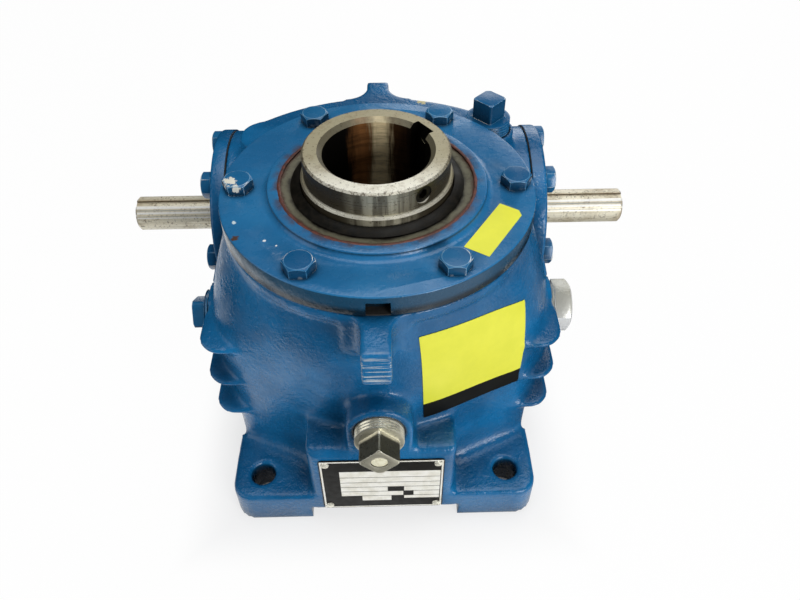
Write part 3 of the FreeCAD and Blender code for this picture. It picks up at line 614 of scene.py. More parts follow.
@dataclass(frozen=True)
class DrainSteel(Metal):
    """Dark steel of the drain plug, made pale on its front face as a painted reflection and on its thread as a
    painted highlight.
    """

    front: Colour = (0.92, 0.88, 0.70)
    thread_y: Span = (-102.5 * MM, -101.0 * MM)

    def toned(self, g: Graph, colour: Socket) -> Socket:
        """Colour with the pale places of painted reflection and highlight.

        Args:
            g: the material's graph.
            colour: colour of the stained metal.

        Returns:
            The colour.
        """
        # Painted reflection on the front face and painted highlight on a band of the thread.
        face = g.ramp(g.facing("Y"), -0.92, -0.75, 1.0, 0.0)
        pale = g.sums("MAXIMUM", face, g.ramp(g.axis("Y"), *self.thread_y))
        return g.mix(g.times(pale, 0.85), colour, self.front)


@dataclass(frozen=True)
class CollarSteel:
    """Turned steel of the output collar: beige face, lighter towards the front as a painted highlight; greasy
    side, also laid dark as a painted dark reflection, with a painted highlight at its front; bore painted black as
    shade, with rust and a streak of painted highlight.
    """

    name: str
    face: Colour = (0.42, 0.38, 0.25)
    # Painted highlight: front is the near-white tone of the top face towards the front.
    front: Colour = (1.0, 0.98, 0.85)
    front_y: Span = (-38 * MM, -4 * MM)
    side: Colour = (0.050, 0.041, 0.025)
    side_highlight: Colour = (0.50, 0.47, 0.35)
    mottle: Colour = (0.26, 0.20, 0.11)
    # Painted highlight: bright is the colour of the pale streak in the bore.
    bright: Colour = (0.78, 0.64, 0.38)
    rust: Colour = (0.22, 0.092, 0.030)
    # Painted shade: black is the colour of the bore.
    black: Colour = (0.002, 0.0015, 0.001)
    speck: Colour = (0.055, 0.036, 0.018)
    bore_r: float = 33.6 * MM
    edge_r: float = 38.1 * MM
    top_z: float = corners("hollow_shaft")[1][2]

    def make(self) -> Material:
        """Build the material.

        Returns:
            The material.
        """
        g = Graph(self.name)
        up = g.ramp(g.facing("Z"), 0.45, 0.95)
        inside = g.ramp(g.radius(), self.bore_r, self.bore_r + 0.4 * MM, 1.0, 0.0)
        inside = g.times(inside, g.sums("SUBTRACT", 1.0, up))
        # Painted highlight: the top face turns near white towards the front.
        face = g.mix(g.ramp(g.axis("Y"), *self.front_y, 1.0, 0.0), self.face, self.front)
        worn = g.times(g.ramp(g.radius(), self.edge_r - 2.2 * MM, self.edge_r, 0.0, 0.20),
                       g.ramp(g.axis("Z"), self.top_z - 2.5 * MM, self.top_z - 1.5 * MM))
        painted_reflections = g.noise(220.0, 4.0, 0.65, (1.0, 1.0, 0.06))
        # Painted highlight: a streaky pale band down the front of the side.
        lit = g.times(g.near(g.axis("X"), 3 * MM, 3 * MM, 23 * MM), g.ramp(painted_reflections, 0.36, 0.60, 0.25, 1.0))
        # The side is laid dark for grease and as a painted dark reflection.
        colour = g.mix(up, g.mix(lit, self.side, self.side_highlight), face)
        mottled = g.times(g.ramp(g.noise(130.0, 6.0, 0.75), 0.47, 0.68), 0.5)
        colour = g.mix(g.times(mottled, up), colour, self.mottle)
        speck = g.ramp(g.sums("ADD", g.noise(620.0, 3.0, 0.75), g.times(worn, up)), 0.58, 0.68)
        colour = g.mix(g.times(speck, 0.75), colour, self.speck)
        colour = g.mix(inside, colour, self.bore(g))
        rings = g.noise(900.0, 2.0, 0.6, (0.02, 0.02, 1.0))
        rough = g.sums("ADD", g.ramp(rings, 0.3, 0.7, 0.26, 0.40), g.times(mottled, 0.22))
        rough = g.sums("MAXIMUM", rough, g.times(inside, 0.7))
        metal = g.times(g.ramp(up, 0.0, 1.0, 0.5, 0.15), g.sums("SUBTRACT", 1.0, g.times(inside, 0.85)))
        normal = g.bump(rings, 0.2, 0.2 * MM, g.bump(speck, 0.25, 0.2 * MM))
        gloss = g.ramp(inside, 0.0, 1.0, 0.5, 0.05)
        return g.shade(Base_Color=colour, Metallic=metal, Roughness=rough, Normal=normal,
                       Specular_IOR_Level=gloss)

    def bore(self, g: Graph) -> Socket:
        """Colour of the bore: painted black as shade, with a rusty streak and a pale streak of painted highlight
        down its back.

        Args:
            g: the material's graph.

        Returns:
            The colour.
        """
        wander = g.noise(150.0, 4.0, 0.7, (1.0, 1.0, 0.12))
        across = g.sums("ADD", g.axis("X"), g.ramp(wander, 0.25, 0.75, -2.5 * MM, 2.5 * MM))
        rings = g.noise(420.0, 3.0, 0.7, (0.15, 0.15, 1.0))
        back = g.times(g.ramp(g.axis("Y"), 0.0, 6 * MM), g.ramp(rings, 0.30, 0.60, 0.55, 1.0))
        wide = g.near(across, 1 * MM, 4 * MM, 19 * MM, 0.22)
        rusty = g.near(across, -8.5 * MM, 1 * MM, 8 * MM)
        # Painted highlight: a pale streak down the back of the bore.
        highlight_streak = g.near(across, 2 * MM, 1 * MM, 7.5 * MM)
        # Painted shade: the bore is laid black, with faint rust over its back.
        bore = g.mix(g.times(wide, back), self.black, self.rust)
        bore = g.mix(g.times(rusty, back), bore, self.rust)
        return g.mix(g.times(highlight_streak, back), bore, self.bright)


@dataclass(frozen=True)
class SealSteel:
    """Face of the output seal: olive steel, rusty at its rim and black with grease by the lip."""

    name: str
    colour: Colour = (0.155, 0.147, 0.098)
    grease: Colour = (0.006, 0.005, 0.004)
    rust: Colour = (0.060, 0.026, 0.014)
    grime: Colour = (0.045, 0.036, 0.022)
    clean_r: Span = (44.5 * MM, 48.0 * MM)
    rusty_r: Span = (48.6 * MM, 50.6 * MM)
    wander: float = 1.2 * MM

    def make(self) -> Material:
        """Build the material.

        Returns:
            The material.
        """
        g = Graph(self.name)
        smear = g.noise(90.0, 5.0, 0.65)
        reach = g.sums("ADD", g.radius(), g.ramp(smear, 0.25, 0.75, -self.wander, self.wander))
        colour = g.mix(g.ramp(reach, *self.clean_r), self.grease, self.colour)
        colour = g.mix(g.ramp(reach, *self.rusty_r, 0.0, 0.85), colour, self.rust)
        grime = g.times(g.ramp(g.noise(300.0, 4.0, 0.7), 0.50, 0.70), 0.6)
        colour = g.mix(grime, colour, self.grime)
        rough = g.ramp(smear, 0.3, 0.7, 0.35, 0.55)
        normal = g.bump(smear, 0.15, 0.3 * MM)
        return g.shade(Base_Color=colour, Roughness=rough, Metallic=0.25, Normal=normal)


@dataclass(frozen=True)
class Matt:
    """Dull surface with two mottled tones, such as rubber, sealant or gasket sheet."""

    name: str
    colour: Colour
    second: Colour
    rough: float = 0.6
    grain: float = 300.0
    gloss: float = 0.5

    def make(self) -> Material:
        """Build the material.

        Returns:
            The material.
        """
        g = Graph(self.name)
        tone = g.noise(self.grain, 5.0, 0.65)
        colour = g.mix(g.ramp(tone, 0.35, 0.68), self.colour, self.second)
        rough = g.ramp(g.noise(self.grain * 0.5), 0.3, 0.7, self.rough * 0.8, self.rough * 1.2)
        return g.shade(Base_Color=colour, Roughness=rough, Specular_IOR_Level=self.gloss,
                       Normal=g.bump(tone, 0.3, 0.3 * MM))


class Finishes:
    """Every finish of the reducer, made once and shared."""

    def __init__(self) -> None:
        """Make the materials."""
        # Paint
        cream, white, rust = (0.72, 0.70, 0.60), (0.80, 0.82, 0.82), (0.070, 0.028, 0.012)
        case_chips = (Spot((29, 106, 165), 5.0, (0.55, 0.50, 0.28)),
                      Spot((41, 101, 165), 2.5, (0.20, 0.12, 0.06)))
        cover_chips = (Spot((-69.5, -40.6, 178.5), 2.4, rust),
                       Spot((-71.6, -28.6, 178.5), 1.3, (0.55, 0.66, 0.70)),
                       Spot((-54.8, -42.9, 178.5), 1.1, white), Spot((-48.8, -46.6, 178.5), 0.8, white),
                       Spot((-31.9, -48.3, 178.5), 0.7, white))
        bolt_chips = (Spot((-77.0, -2.6, 184.7), 4.6, cream), Spot((-72.6, -8.2, 183.5), 4.0, cream))
        # The casting's patch of pale specks by the right cap is a painted highlight.
        self.casting = Enamel("blue_enamel_casting", wear=0.25, spots=case_chips,
                              scuffs=(Patch((-1, -106, 155), 13.0),),
                              glint_patches=(Patch((97, 43, 144), 12.0),)).make()
        self.cover = CoverEnamel("blue_enamel_cover", (0.020, 0.165, 0.365), (0.014, 0.130, 0.305), cast=0.30,
                                 wear=0.4, spots=cover_chips).make()
        # The bolts carry painted shade on their upright faces (sides).
        self.bolt = Enamel("blue_enamel_bolts", (0.016, 0.145, 0.320), cast=0.12, dust_and_glint=0.06, wear=0.7,
                           sides=0.55, spots=bolt_chips).make()
        # Painted glints and chipped paint: the rounds of painted bolts and plugs are lighter blue, white in
        # patches.
        self.bolt_edge_chips_and_glints = Enamel("blue_enamel_edges", (0.200, 0.380, 0.520), (0.060, 0.220, 0.400),
                                (0.92, 0.94, 0.92), cast=0.05, dust_and_glint=3.0, hollow_shade=0.3).make()
        # Bare metal
        self.collar = CollarSteel("collar_steel").make()
        # Painted highlights and darker bands along the worm shaft, by the way its surface faces.
        pale, grey = (0.96, 0.97, 0.95), (0.36, 0.37, 0.35)
        glints = (PaintedReflection(0.82, 0.05, pale), PaintedReflection(0.72, 0.035, grey), PaintedReflection(0.61, 0.07, pale),
                  PaintedReflection(0.44, 0.03, grey), PaintedReflection(0.35, 0.05, pale))
        self.shaft = InputSteel("shaft_steel", (0.86, 0.81, 0.64), (0.36, 0.27, 0.14), (0.10, 0.060, 0.025),
                                rough=0.36, stained=0.7, specked=0.85, lay=(0.08, 1.0, 1.0), metal=0.25,
                                painted_reflections=glints).make()
        self.plug = DrainSteel("plain_steel", (0.15, 0.15, 0.120), (0.050, 0.046, 0.034), rough=0.30,
                               stained=0.7, metal=0.8).make()
        # On the drain plug, the rounds in this pale steel are painted highlights along its edges, and partly worn
        # bare steel.
        self.plug_edge = Metal("plain_steel_edges", (0.86, 0.84, 0.72), (0.50, 0.47, 0.36), rough=0.30,
                               metal=0.5).make()
        # Painted reflection: the zinc plug's faces that look up are laid darker.
        self.zinc = Metal("bright_zinc", (0.93, 0.94, 0.93), (0.50, 0.49, 0.40), rough=0.22, stained=0.45,
                          specked=0.15, metal=0.25, painted_reflections=(PaintedReflection(1.0, 0.58, (0.30, 0.29, 0.22)),)).make()
        self.oxide = Metal("black_oxide", (0.035, 0.033, 0.03), (0.02, 0.015, 0.01), rough=0.4).make()
        self.seal = SealSteel("seal_case_steel").make()
        self.worm_seal = Metal("worm_seal_steel", (0.170, 0.162, 0.115), (0.060, 0.045, 0.030), rough=0.42,
                               stained=0.8, relief=0.1, metal=0.5).make()
        self.bronze = Metal("gear_bronze", (0.56, 0.36, 0.16), (0.30, 0.17, 0.07), stained=0.35,
                            specked=0.1).make()
        self.bearing = Metal("bearing_steel", (0.60, 0.61, 0.62), (0.36, 0.33, 0.28), rough=0.16,
                             stained=0.15, specked=0.05).make()
        self.cage = Metal("cage_steel", (0.42, 0.42, 0.42), (0.28, 0.26, 0.23), stained=0.2,
                          specked=0.1).make()
        # Rubber, sealant, plate and labels
        self.rubber = Matt("seal_rubber", (0.008, 0.008, 0.007), (0.020, 0.018, 0.014), 0.35).make()
        self.greased = Matt("greased_rubber", (0.003, 0.003, 0.002), (0.010, 0.008, 0.005), 0.45,
                            gloss=0.15).make()
        self.sealant = Matt("red_sealant", (0.125, 0.030, 0.017), (0.040, 0.014, 0.009), 0.5).make()
        self.gasket = Matt("gasket_sheet", (0.035, 0.030, 0.025), (0.018, 0.016, 0.014), 0.75).make()
        self.plate = Matt("nameplate_black", (0.007, 0.007, 0.006), (0.014, 0.013, 0.011), 0.45, 500.0,
                          0.15).make()
        self.silver = Matt("nameplate_silver", (0.86, 0.85, 0.79), (0.72, 0.70, 0.61), 0.45, 180.0).make()
        self.sticker = Matt("sticker_yellow", (0.74, 0.74, 0.042), (0.69, 0.70, 0.037), 0.42, 60.0).make()
        self.label = Matt("label_yellow", (0.86, 0.86, 0.050), (0.80, 0.81, 0.045), 0.42, 60.0).make()
        self.filler = Matt("drain_filler", (0.80, 0.78, 0.60), (0.62, 0.58, 0.40), 0.6, 700.0).make()
        self.band = Matt("sticker_band", (0.004, 0.004, 0.003), (0.008, 0.008, 0.006), 0.5, 60.0, 0.1).make()


# Modelling help

def select_only(piece: Piece) -> None:
    """Select one object alone and make it active.

    Args:
        piece: the object.
    """
    bpy.ops.object.select_all(action="DESELECT")
    piece.select_set(True)
    bpy.context.view_layer.objects.active = piece


@contextmanager
def whole_mesh() -> Iterator[None]:
    """Edit mode on the active object, with all of its mesh selected.

    Yields:
        Nothing, once in edit mode.
    """
    bpy.ops.object.mode_set(mode="EDIT")
    bpy.ops.mesh.select_all(action="SELECT")
    yield
    bpy.ops.object.mode_set(mode="OBJECT")


def start_piece(name: str, add: Callable[..., object], **sizes: object) -> Piece:
    """Add a primitive to shape, with nothing else selected.

    Args:
        name: name of the piece.
        add: operator that adds the primitive.
        sizes: the operator's settings.

    Returns:
        The new piece.
    """
    bpy.ops.object.select_all(action="DESELECT")
    add(**sizes)
    piece = bpy.context.object
    piece.name = name
    return piece


def merged_copy(name: str, node: str) -> Piece:
    """Copy a solid's mesh into a new piece, with its loose triangles merged.

    Args:
        name: name of the piece.
        node: name of the solid.

    Returns:
        The new piece.
    """
    piece = bpy.data.objects.new(name, frame["nodes"][node].data.copy())
    bpy.context.scene.collection.objects.link(piece)
    piece.data.materials.clear()
    select_only(piece)
    bpy.ops.mesh.customdata_custom_splitnormals_clear()
    with whole_mesh():
        bpy.ops.mesh.remove_doubles(threshold=MERGE)
    return piece


def apply_modifier(piece: Piece, kind: str, **settings: object) -> None:
    """Add a modifier with its settings and apply it.

    Args:
        piece: the piece.
        kind: type of the modifier.
        settings: the modifier's settings.
    """
    select_only(piece)
    modifier = piece.modifiers.new(kind.lower(), kind)
    for key, value in settings.items():
        setattr(modifier, key, value)
    bpy.ops.object.modifier_apply(modifier=modifier.name)


def settle(piece: Piece, place: Matrix) -> None:
    """Put a piece in its place for good, with its place in its mesh.

    Args:
        piece: the piece.
        place: where it goes.
    """
    piece.matrix_world = place
    select_only(piece)
    bpy.ops.object.transform_apply(location=True, rotation=True, scale=True)


def paint(piece: Piece, *finish: Material) -> None:
    """Give a piece its finishes.

    Args:
        piece: the piece.
        finish: one or more finishes.
    """
    for material in finish:
        piece.data.materials.append(material)


def dress(material: Material, *nodes: str) -> None:
    """Give solids that stay as they are their finish.

    Args:
        material: the finish.
        nodes: names of the solids.
    """
    for node in nodes:
        solid = frame["nodes"][node]
        solid.data.materials.clear()
        paint(solid, material)


def mount(piece: Piece, slot: Slot | None, *nodes: str) -> None:
    """Set a piece on the casing and hide the solids that it stands for.

    Args:
        piece: the piece.
        slot: material slot of the record, if it has one for the piece; not used.
        nodes: solids that it replaces.
    """
    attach(piece, CASING)
    if nodes:
        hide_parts(*nodes)
    LOG.info("piece %s: %d faces", piece.name, len(piece.data.polygons))


def mount_rounded(name: str, node: str, width: float, slot: Slot, *finish: Material) -> None:
    """Mount a copy of a solid, with a small round on its sharp edges, in place of it.

    Args:
        name: name of the piece.
        node: solid that it is copied from.
        width: width of the round in metres.
        slot: material slot of the record.
        finish: the finish, and the finish of the rounds if that is another one.
    """
    piece = merged_copy(name, node)
    with whole_mesh():
        bpy.ops.mesh.dissolve_limited(angle_limit=FLAT_UNDER)
    paint(piece, *finish)
    apply_modifier(piece, "BEVEL", width=width, segments=2, limit_method="ANGLE", angle_limit=SHARP_OVER,
                   use_clamp_overlap=True, material=len(finish) - 1)
    bpy.ops.object.shade_smooth_by_angle(angle=SMOOTH_UNDER)
    mount(piece, slot, node)


def grid_sheet(name: str, width: float, height: float, cell: float) -> Piece:
    """Flat sheet of square cells in the XY plane, centred on the origin.

    Args:
        name: name of the piece.
        width: size along X in metres.
        height: size along Y in metres.
        cell: side of a cell in metres.

    Returns:
        The sheet.
    """
    sheet = start_piece(name, bpy.ops.mesh.primitive_grid_add, size=1.0,
                        x_subdivisions=round(width / cell), y_subdivisions=round(height / cell))
    sheet.scale = (width, height, 1.0)
    bpy.ops.object.transform_apply(location=True, rotation=True, scale=True)
    return sheet


def pick_faces(piece: Piece, wanted: Callable[[Vector], bool]) -> None:
    """Select the faces of a piece whose middles pass a test, and leave it in edit mode.

    Args:
        piece: the piece.
        wanted: test on the middle of a face.
    """
    select_only(piece)
    bpy.ops.object.mode_set(mode="EDIT")
    bpy.ops.mesh.select_mode(type="FACE")
    bpy.ops.mesh.select_all(action="DESELECT")
    bpy.ops.object.mode_set(mode="OBJECT")
    for face in piece.data.polygons:
        face.select = wanted(face.center)
    bpy.ops.object.mode_set(mode="EDIT")


# Sub-assemblies

@dataclass
class CastCase:
    """The case with the soft corners of a sand casting, its machined faces kept flat."""

    finishes: Finishes
    voxel: float = 1.1 * MM
    corner_passes: int = 8
    fillet_passes: int = 45
    fillet_rings: int = 4
    faces: int = 150000
    deck_z: float = corners("housing")[1][2]
    deck_r: float = corners("top_cover")[1][0]
    boss_x: float = corners("right_cap_shim")[0][0]
    boss_y: float = 20.0 * MM
    plug_x: float = 99.0 * MM
    soft_from: float = 0.4 * MM
    soft_over: float = 3.0 * MM
    soft_levels: int = 10
    bend_from: float = 0.015
    bend_over: float = 0.05
    ring_fade: float = 0.95
    foot_at: Point = (70.0 * MM, 58.0 * MM, 30.0 * MM)
    foot_r: Span = (26.0 * MM, 40.0 * MM)
    foot_passes: int = 150
    foot_rings: int = 12
    foot_hole: Span = tuple(value * MM for value in foot_hole_place())
    foot_hole_r: float = 11.5 * MM

    def build(self) -> Piece:
        """Remesh a copy of the case, round its corners and dress it.

        Returns:
            The casting.
        """
        piece = merged_copy("case_casting", "housing")
        mesh = piece.data
        apply_modifier(piece, "REMESH", mode="VOXEL", voxel_size=self.voxel, adaptivity=0.0)
        self.soften(piece, self.softness(mesh), self.corner_passes)
        self.soften(piece, self.softness(mesh) * self.hollowness(mesh, self.fillet_rings), self.fillet_passes)
        self.soften(piece, self.footing(mesh) * self.hollowness(mesh, self.foot_rings), self.foot_passes)
        apply_modifier(piece, "DECIMATE", decimate_type="COLLAPSE",
                       ratio=min(1.0, self.faces / (2 * len(mesh.polygons))))
        bpy.ops.object.shade_smooth()
        paint(piece, self.finishes.casting)
        mount(piece, Slot.CASTING, "housing")
        return piece

    @staticmethod
    def points(mesh: Mesh) -> np.ndarray:
        """Places of a mesh's vertices, one to a row.

        Args:
            mesh: the mesh.

        Returns:
            The places in metres.
        """
        flat = np.empty(3 * len(mesh.vertices), dtype=np.float32)
        mesh.vertices.foreach_get("co", flat)
        return flat.reshape(-1, 3)

    def softness(self, mesh: Mesh) -> np.ndarray:
        """How freely each vertex is smoothed, from 0 on a machined face to 1.

        Args:
            mesh: the casting's mesh.

        Returns:
            A weight for each vertex.
        """
        x, y, z = self.points(mesh).T
        far = np.full(len(x), 1.0)
        gaps = np.minimum(z, np.where(np.hypot(x, y) < self.deck_r, np.abs(self.deck_z - z), far))
        gaps = np.minimum(gaps, np.where(y > self.boss_y, np.abs(np.abs(x) - self.boss_x), far))
        gaps = np.minimum(gaps, np.where(np.abs(y) < self.boss_y, np.abs(np.abs(x) - self.plug_x), far))
        return np.clip((gaps - self.soft_from) / self.soft_over, 0.0, 1.0)

    def footing(self, mesh: Mesh) -> np.ndarray:
        """Where the walls run out into the feet, clear of the foot holes.

        Args:
            mesh: the casting's mesh.

        Returns:
            A weight in 0 to 1 for each vertex.
        """
        folded = np.abs(self.points(mesh))
        gaps = np.linalg.norm(folded - self.foot_at, axis=1)
        hole = np.linalg.norm(folded[:, :2] - self.foot_hole, axis=1) - self.foot_hole_r
        near, far = self.foot_r
        return np.clip((far - gaps) / (far - near), 0.0, 1.0) * np.clip(hole / self.soft_over, 0.0, 1.0)

    def hollowness(self, mesh: Mesh, rings: int) -> np.ndarray:
        """Where the surface is hollow, so that inside corners get the larger fillets.

        Args:
            mesh: the casting's mesh.
            rings: how many edges the weight spreads from the hollow.

        Returns:
            A weight in 0 to 1 for each vertex.
        """
        places = self.points(mesh)
        normals = np.empty(places.size, dtype=np.float32)
        mesh.vertex_normals.foreach_get("vector", normals)
        ends = np.empty(2 * len(mesh.edges), dtype=np.int32)
        mesh.edges.foreach_get("vertices", ends)
        first, second = ends.reshape(-1, 2).T
        count = np.bincount(ends, minlength=len(places))
        spread = np.zeros_like(places)
        np.add.at(spread, first, places[second] - places[first])
        np.add.at(spread, second, places[first] - places[second])
        bend = (spread * normals.reshape(-1, 3)).sum(axis=1) / count / self.voxel
        weight = np.clip((bend - self.bend_from) / self.bend_over, 0.0, 1.0)
        for _ in range(rings):
            wider = weight.copy()
            np.maximum.at(wider, first, weight[second] * self.ring_fade)
            np.maximum.at(wider, second, weight[first] * self.ring_fade)
            weight = wider
        return weight

    def soften(self, piece: Piece, weights: np.ndarray, passes: int) -> None:
        """Smooth a piece, each vertex as freely as its weight says.

        Args:
            piece: the piece.
            weights: freedom of each vertex, in 0 to 1.
            passes: how often the smoothing runs.
        """
        group = piece.vertex_groups.new(name="soft")
        levels = np.round(weights * self.soft_levels).astype(int)
        for level in range(1, self.soft_levels + 1):
            group.add(np.flatnonzero(levels == level).tolist(), level / self.soft_levels, "REPLACE")
        apply_modifier(piece, "SMOOTH", factor=0.5, iterations=passes, vertex_group="soft")
        piece.vertex_groups.clear()


@dataclass
class Cover:
    """Top cover with its joint, bolts, bead of sealant, dust lip and small blank label."""

    finishes: Finishes
    edge_round: float = 0.5 * MM
    bolt_round: float = 0.45 * MM
    bead_r: float = 51.5 * MM
    bead_half: float = 1.05 * MM
    bead_z: float = 182.05 * MM
    bead_flat: float = 0.45
    bead_steps: int = 240
    bead_sides: int = 16
    lump_size: float = 5.0 * MM
    lump_height: float = 0.9 * MM
    lump_level: float = 0.6
    lip_profile: tuple[Span, ...] = ((40.05, 181.4), (45.4, 181.4), (44.4, 182.1), (41.9, 183.5),
                                     (40.4, 183.8), (40.05, 183.5))
    lip_steps: int = 160
    lip_smooth: float = math.radians(50)
    top_z: float = 178.5 * MM
    label_size: Span = (39.0 * MM, 13.6 * MM)
    label_at: Span = (57.8 * MM, -37.3 * MM)
    label_turn: float = math.radians(57.1)
    label_tear: float = 3.0 * MM
    label_cell: float = 1.0 * MM
    film: float = 0.15 * MM

    def build(self) -> None:
        """Build and dress the pieces."""
        finishes = self.finishes
        mount_rounded("cover_plate", "top_cover", self.edge_round, Slot.CASTING, finishes.cover)
        mount_rounded("cover_bolt_heads", "cover_bolts", self.bolt_round, Slot.PAINTED_STEEL, finishes.bolt,
                      finishes.bolt_edge_chips_and_glints)
        self.bead()
        self.dust_lip()
        self.label()
        dress(finishes.gasket, "cover_gasket")
        dress(finishes.seal, "upper_seal_case", "lower_seal_case")
        dress(finishes.rubber, "upper_seal_lip", "lower_seal_lip")

    def bead(self) -> None:
        """Lay the uneven bead of sealant in the joint round the seal."""
        bead = start_piece("sealant_bead", bpy.ops.mesh.primitive_torus_add, major_radius=self.bead_r,
                           minor_radius=self.bead_half, major_segments=self.bead_steps,
                           minor_segments=self.bead_sides)
        lumps = bpy.data.textures.new("bead_lumps", "CLOUDS")
        lumps.noise_scale = self.lump_size
        apply_modifier(bead, "DISPLACE", texture=lumps, strength=self.lump_height, mid_level=self.lump_level)
        flat = Matrix.Diagonal((1.0, 1.0, self.bead_flat, 1.0))
        settle(bead, Matrix.Translation((0, 0, self.bead_z)) @ flat)
        bpy.ops.object.shade_smooth()
        paint(bead, self.finishes.sealant)
        mount(bead, Slot.SEALANT, "seal_sealant")

    def dust_lip(self) -> None:
        """Spin the greasy dust lip that stands up round the shaft, just clear of it."""
        lip = start_piece("seal_dust_lip", bpy.ops.mesh.primitive_circle_add, vertices=len(self.lip_profile),
                          radius=1.0, fill_type="NOTHING")
        for vertex, (off, height) in zip(lip.data.vertices, self.lip_profile):
            vertex.co = (off * MM, 0.0, height * MM)
        with whole_mesh():
            bpy.ops.mesh.spin(steps=self.lip_steps, angle=2 * math.pi, center=(0, 0, 0), axis=(0, 0, 1))
            bpy.ops.mesh.select_all(action="SELECT")
            bpy.ops.mesh.remove_doubles(threshold=MERGE)
            bpy.ops.mesh.normals_make_consistent(inside=False)
        bpy.ops.object.shade_smooth_by_angle(angle=self.lip_smooth)
        paint(lip, self.finishes.greased)
        mount(lip, Slot.RUBBER)

    def label(self) -> None:
        """Stick the small blank label on the cover, with one corner torn off."""
        width, height = self.label_size
        label = grid_sheet("cover_sticker", width, height, self.label_cell)
        with whole_mesh():
            bpy.ops.mesh.bisect(plane_co=(width / 2 - self.label_tear, -height / 2, 0),
                                plane_no=(1.0, -1.0, 0), clear_outer=True)
        apply_modifier(label, "SOLIDIFY", thickness=self.film, offset=1.0)
        turn = Matrix.Rotation(self.label_turn, 4, "Z")
        settle(label, Matrix.Translation((*self.label_at, self.top_z)) @ turn)
        paint(label, self.finishes.label)
        mount(label, None)


@dataclass
class CaseSticker:
    """Large blank sticker on the front right of the case, wrapped round its corner, with a dark band."""

    finishes: Finishes
    case: Piece
    corners: tuple[Point, ...] = ((18.5, -78.7, 146.7), (75.9, -46.9, 138.9), (78.0, -53.1, 77.7),
                                  (22.5, -76.5, 75.8))
    band: float = 13.0 * MM
    film: float = 0.15 * MM
    cell: float = 1.0 * MM
    stand_off: float = 20.0 * MM
    arch: float = 3.0 * MM
    gap: float = 0.2 * MM
    smooth_passes: int = 6

    def build(self) -> None:
        """Lay the sticker on the casting."""
        top_left, top_right, low_right, low_left = (Vector(corner) * MM for corner in self.corners)
        across = (top_right + low_right - top_left - low_left) / 2
        rise = (top_left + top_right - low_left - low_right) / 2
        sheet = grid_sheet("case_sticker", across.length, rise.length, self.cell)
        paint(sheet, self.finishes.sticker, self.finishes.band)
        pick_faces(sheet, lambda middle: middle.y < self.band - rise.length / 2)
        sheet.active_material_index = 1
        bpy.ops.object.material_slot_assign()
        bpy.ops.object.mode_set(mode="OBJECT")
        out = across.cross(rise).normalized()
        turn = Matrix((across.normalized(), out.cross(across).normalized(), out)).transposed()
        for vertex in sheet.data.vertices:
            share = vertex.co.x / across.length + 0.5
            low, high = low_left.lerp(low_right, share), top_left.lerp(top_right, share)
            high.z += 4 * self.arch * share * (1 - share)
            vertex.co = (low.lerp(high, vertex.co.y / rise.length + 0.5) + out * self.stand_off) @ turn
        sheet.matrix_world = turn.to_4x4()
        bpy.context.view_layer.update()
        apply_modifier(sheet, "SHRINKWRAP", target=self.case, wrap_method="PROJECT", use_project_z=True,
                       use_negative_direction=True, use_positive_direction=False, wrap_mode="ABOVE_SURFACE",
                       offset=self.gap)
        apply_modifier(sheet, "SMOOTH", factor=0.5, iterations=self.smooth_passes)
        apply_modifier(sheet, "SOLIDIFY", thickness=self.film, offset=1.0)
        settle(sheet, sheet.matrix_world.copy())
        bpy.ops.object.shade_smooth_by_angle(angle=SMOOTH_UNDER)
        mount(sheet, None)


@dataclass
class Nameplate:
    """Blank nameplate: black plate with a raised silver border and empty silver fields."""

    finishes: Finishes
    size: Span = (70.0 * MM, 51.0 * MM)
    centre: Point = (-1.0, -95.8, 38.0)
    cell: float = 0.5 * MM
    relief: float = 0.08 * MM
    border: Span = (0.5 * MM, 1.5 * MM)
    fields: tuple[tuple[float, float, float, float], ...] = (
        (0.16, 0.22, 0.975, 0.33), (0.16, 0.34, 0.975, 0.44), (0.16, 0.45, 0.975, 0.535),
        (0.16, 0.545, 0.54, 0.64), (0.68, 0.545, 0.975, 0.64), (0.16, 0.65, 0.67, 0.735),
        (0.76, 0.65, 0.975, 0.735), (0.33, 0.745, 0.57, 0.84), (0.68, 0.745, 0.975, 0.80))

    def build(self) -> None:
        """Raise the silver pattern on the plate, and dress the plate and its screws."""
        pattern = grid_sheet("nameplate_fields", *self.size, self.cell)
        pick_faces(pattern, lambda middle: not self.silvered(middle))
        bpy.ops.mesh.delete(type="FACE")
        bpy.ops.mesh.select_all(action="SELECT")
        bpy.ops.mesh.dissolve_limited(angle_limit=math.radians(1))
        bpy.ops.object.mode_set(mode="OBJECT")
        apply_modifier(pattern, "SOLIDIFY", thickness=self.relief, offset=1.0)
        upright = Matrix.Rotation(math.radians(90), 4, "X")
        settle(pattern, Matrix.Translation(Vector(self.centre) * MM) @ upright)
        paint(pattern, self.finishes.silver)
        mount(pattern, Slot.PLATE)
        dress(self.finishes.plate, "nameplate")
        dress(self.finishes.plug_edge, "nameplate_screws")

    def silvered(self, at: Vector) -> bool:
        """Whether a place on the plate is silver.

        Args:
            at: the place, from the plate's centre.

        Returns:
            True on the border and on the fields, whose sides are shares of the plate from its top left.
        """
        width, height = self.size
        edge = min(width / 2 - abs(at.x), height / 2 - abs(at.y))
        if self.border[0] < edge < self.border[1]:
            return True
        u, v = at.x / width + 0.5, 0.5 - at.y / height
        return any(left < u < right and top < v < low for left, top, right, low in self.fields)


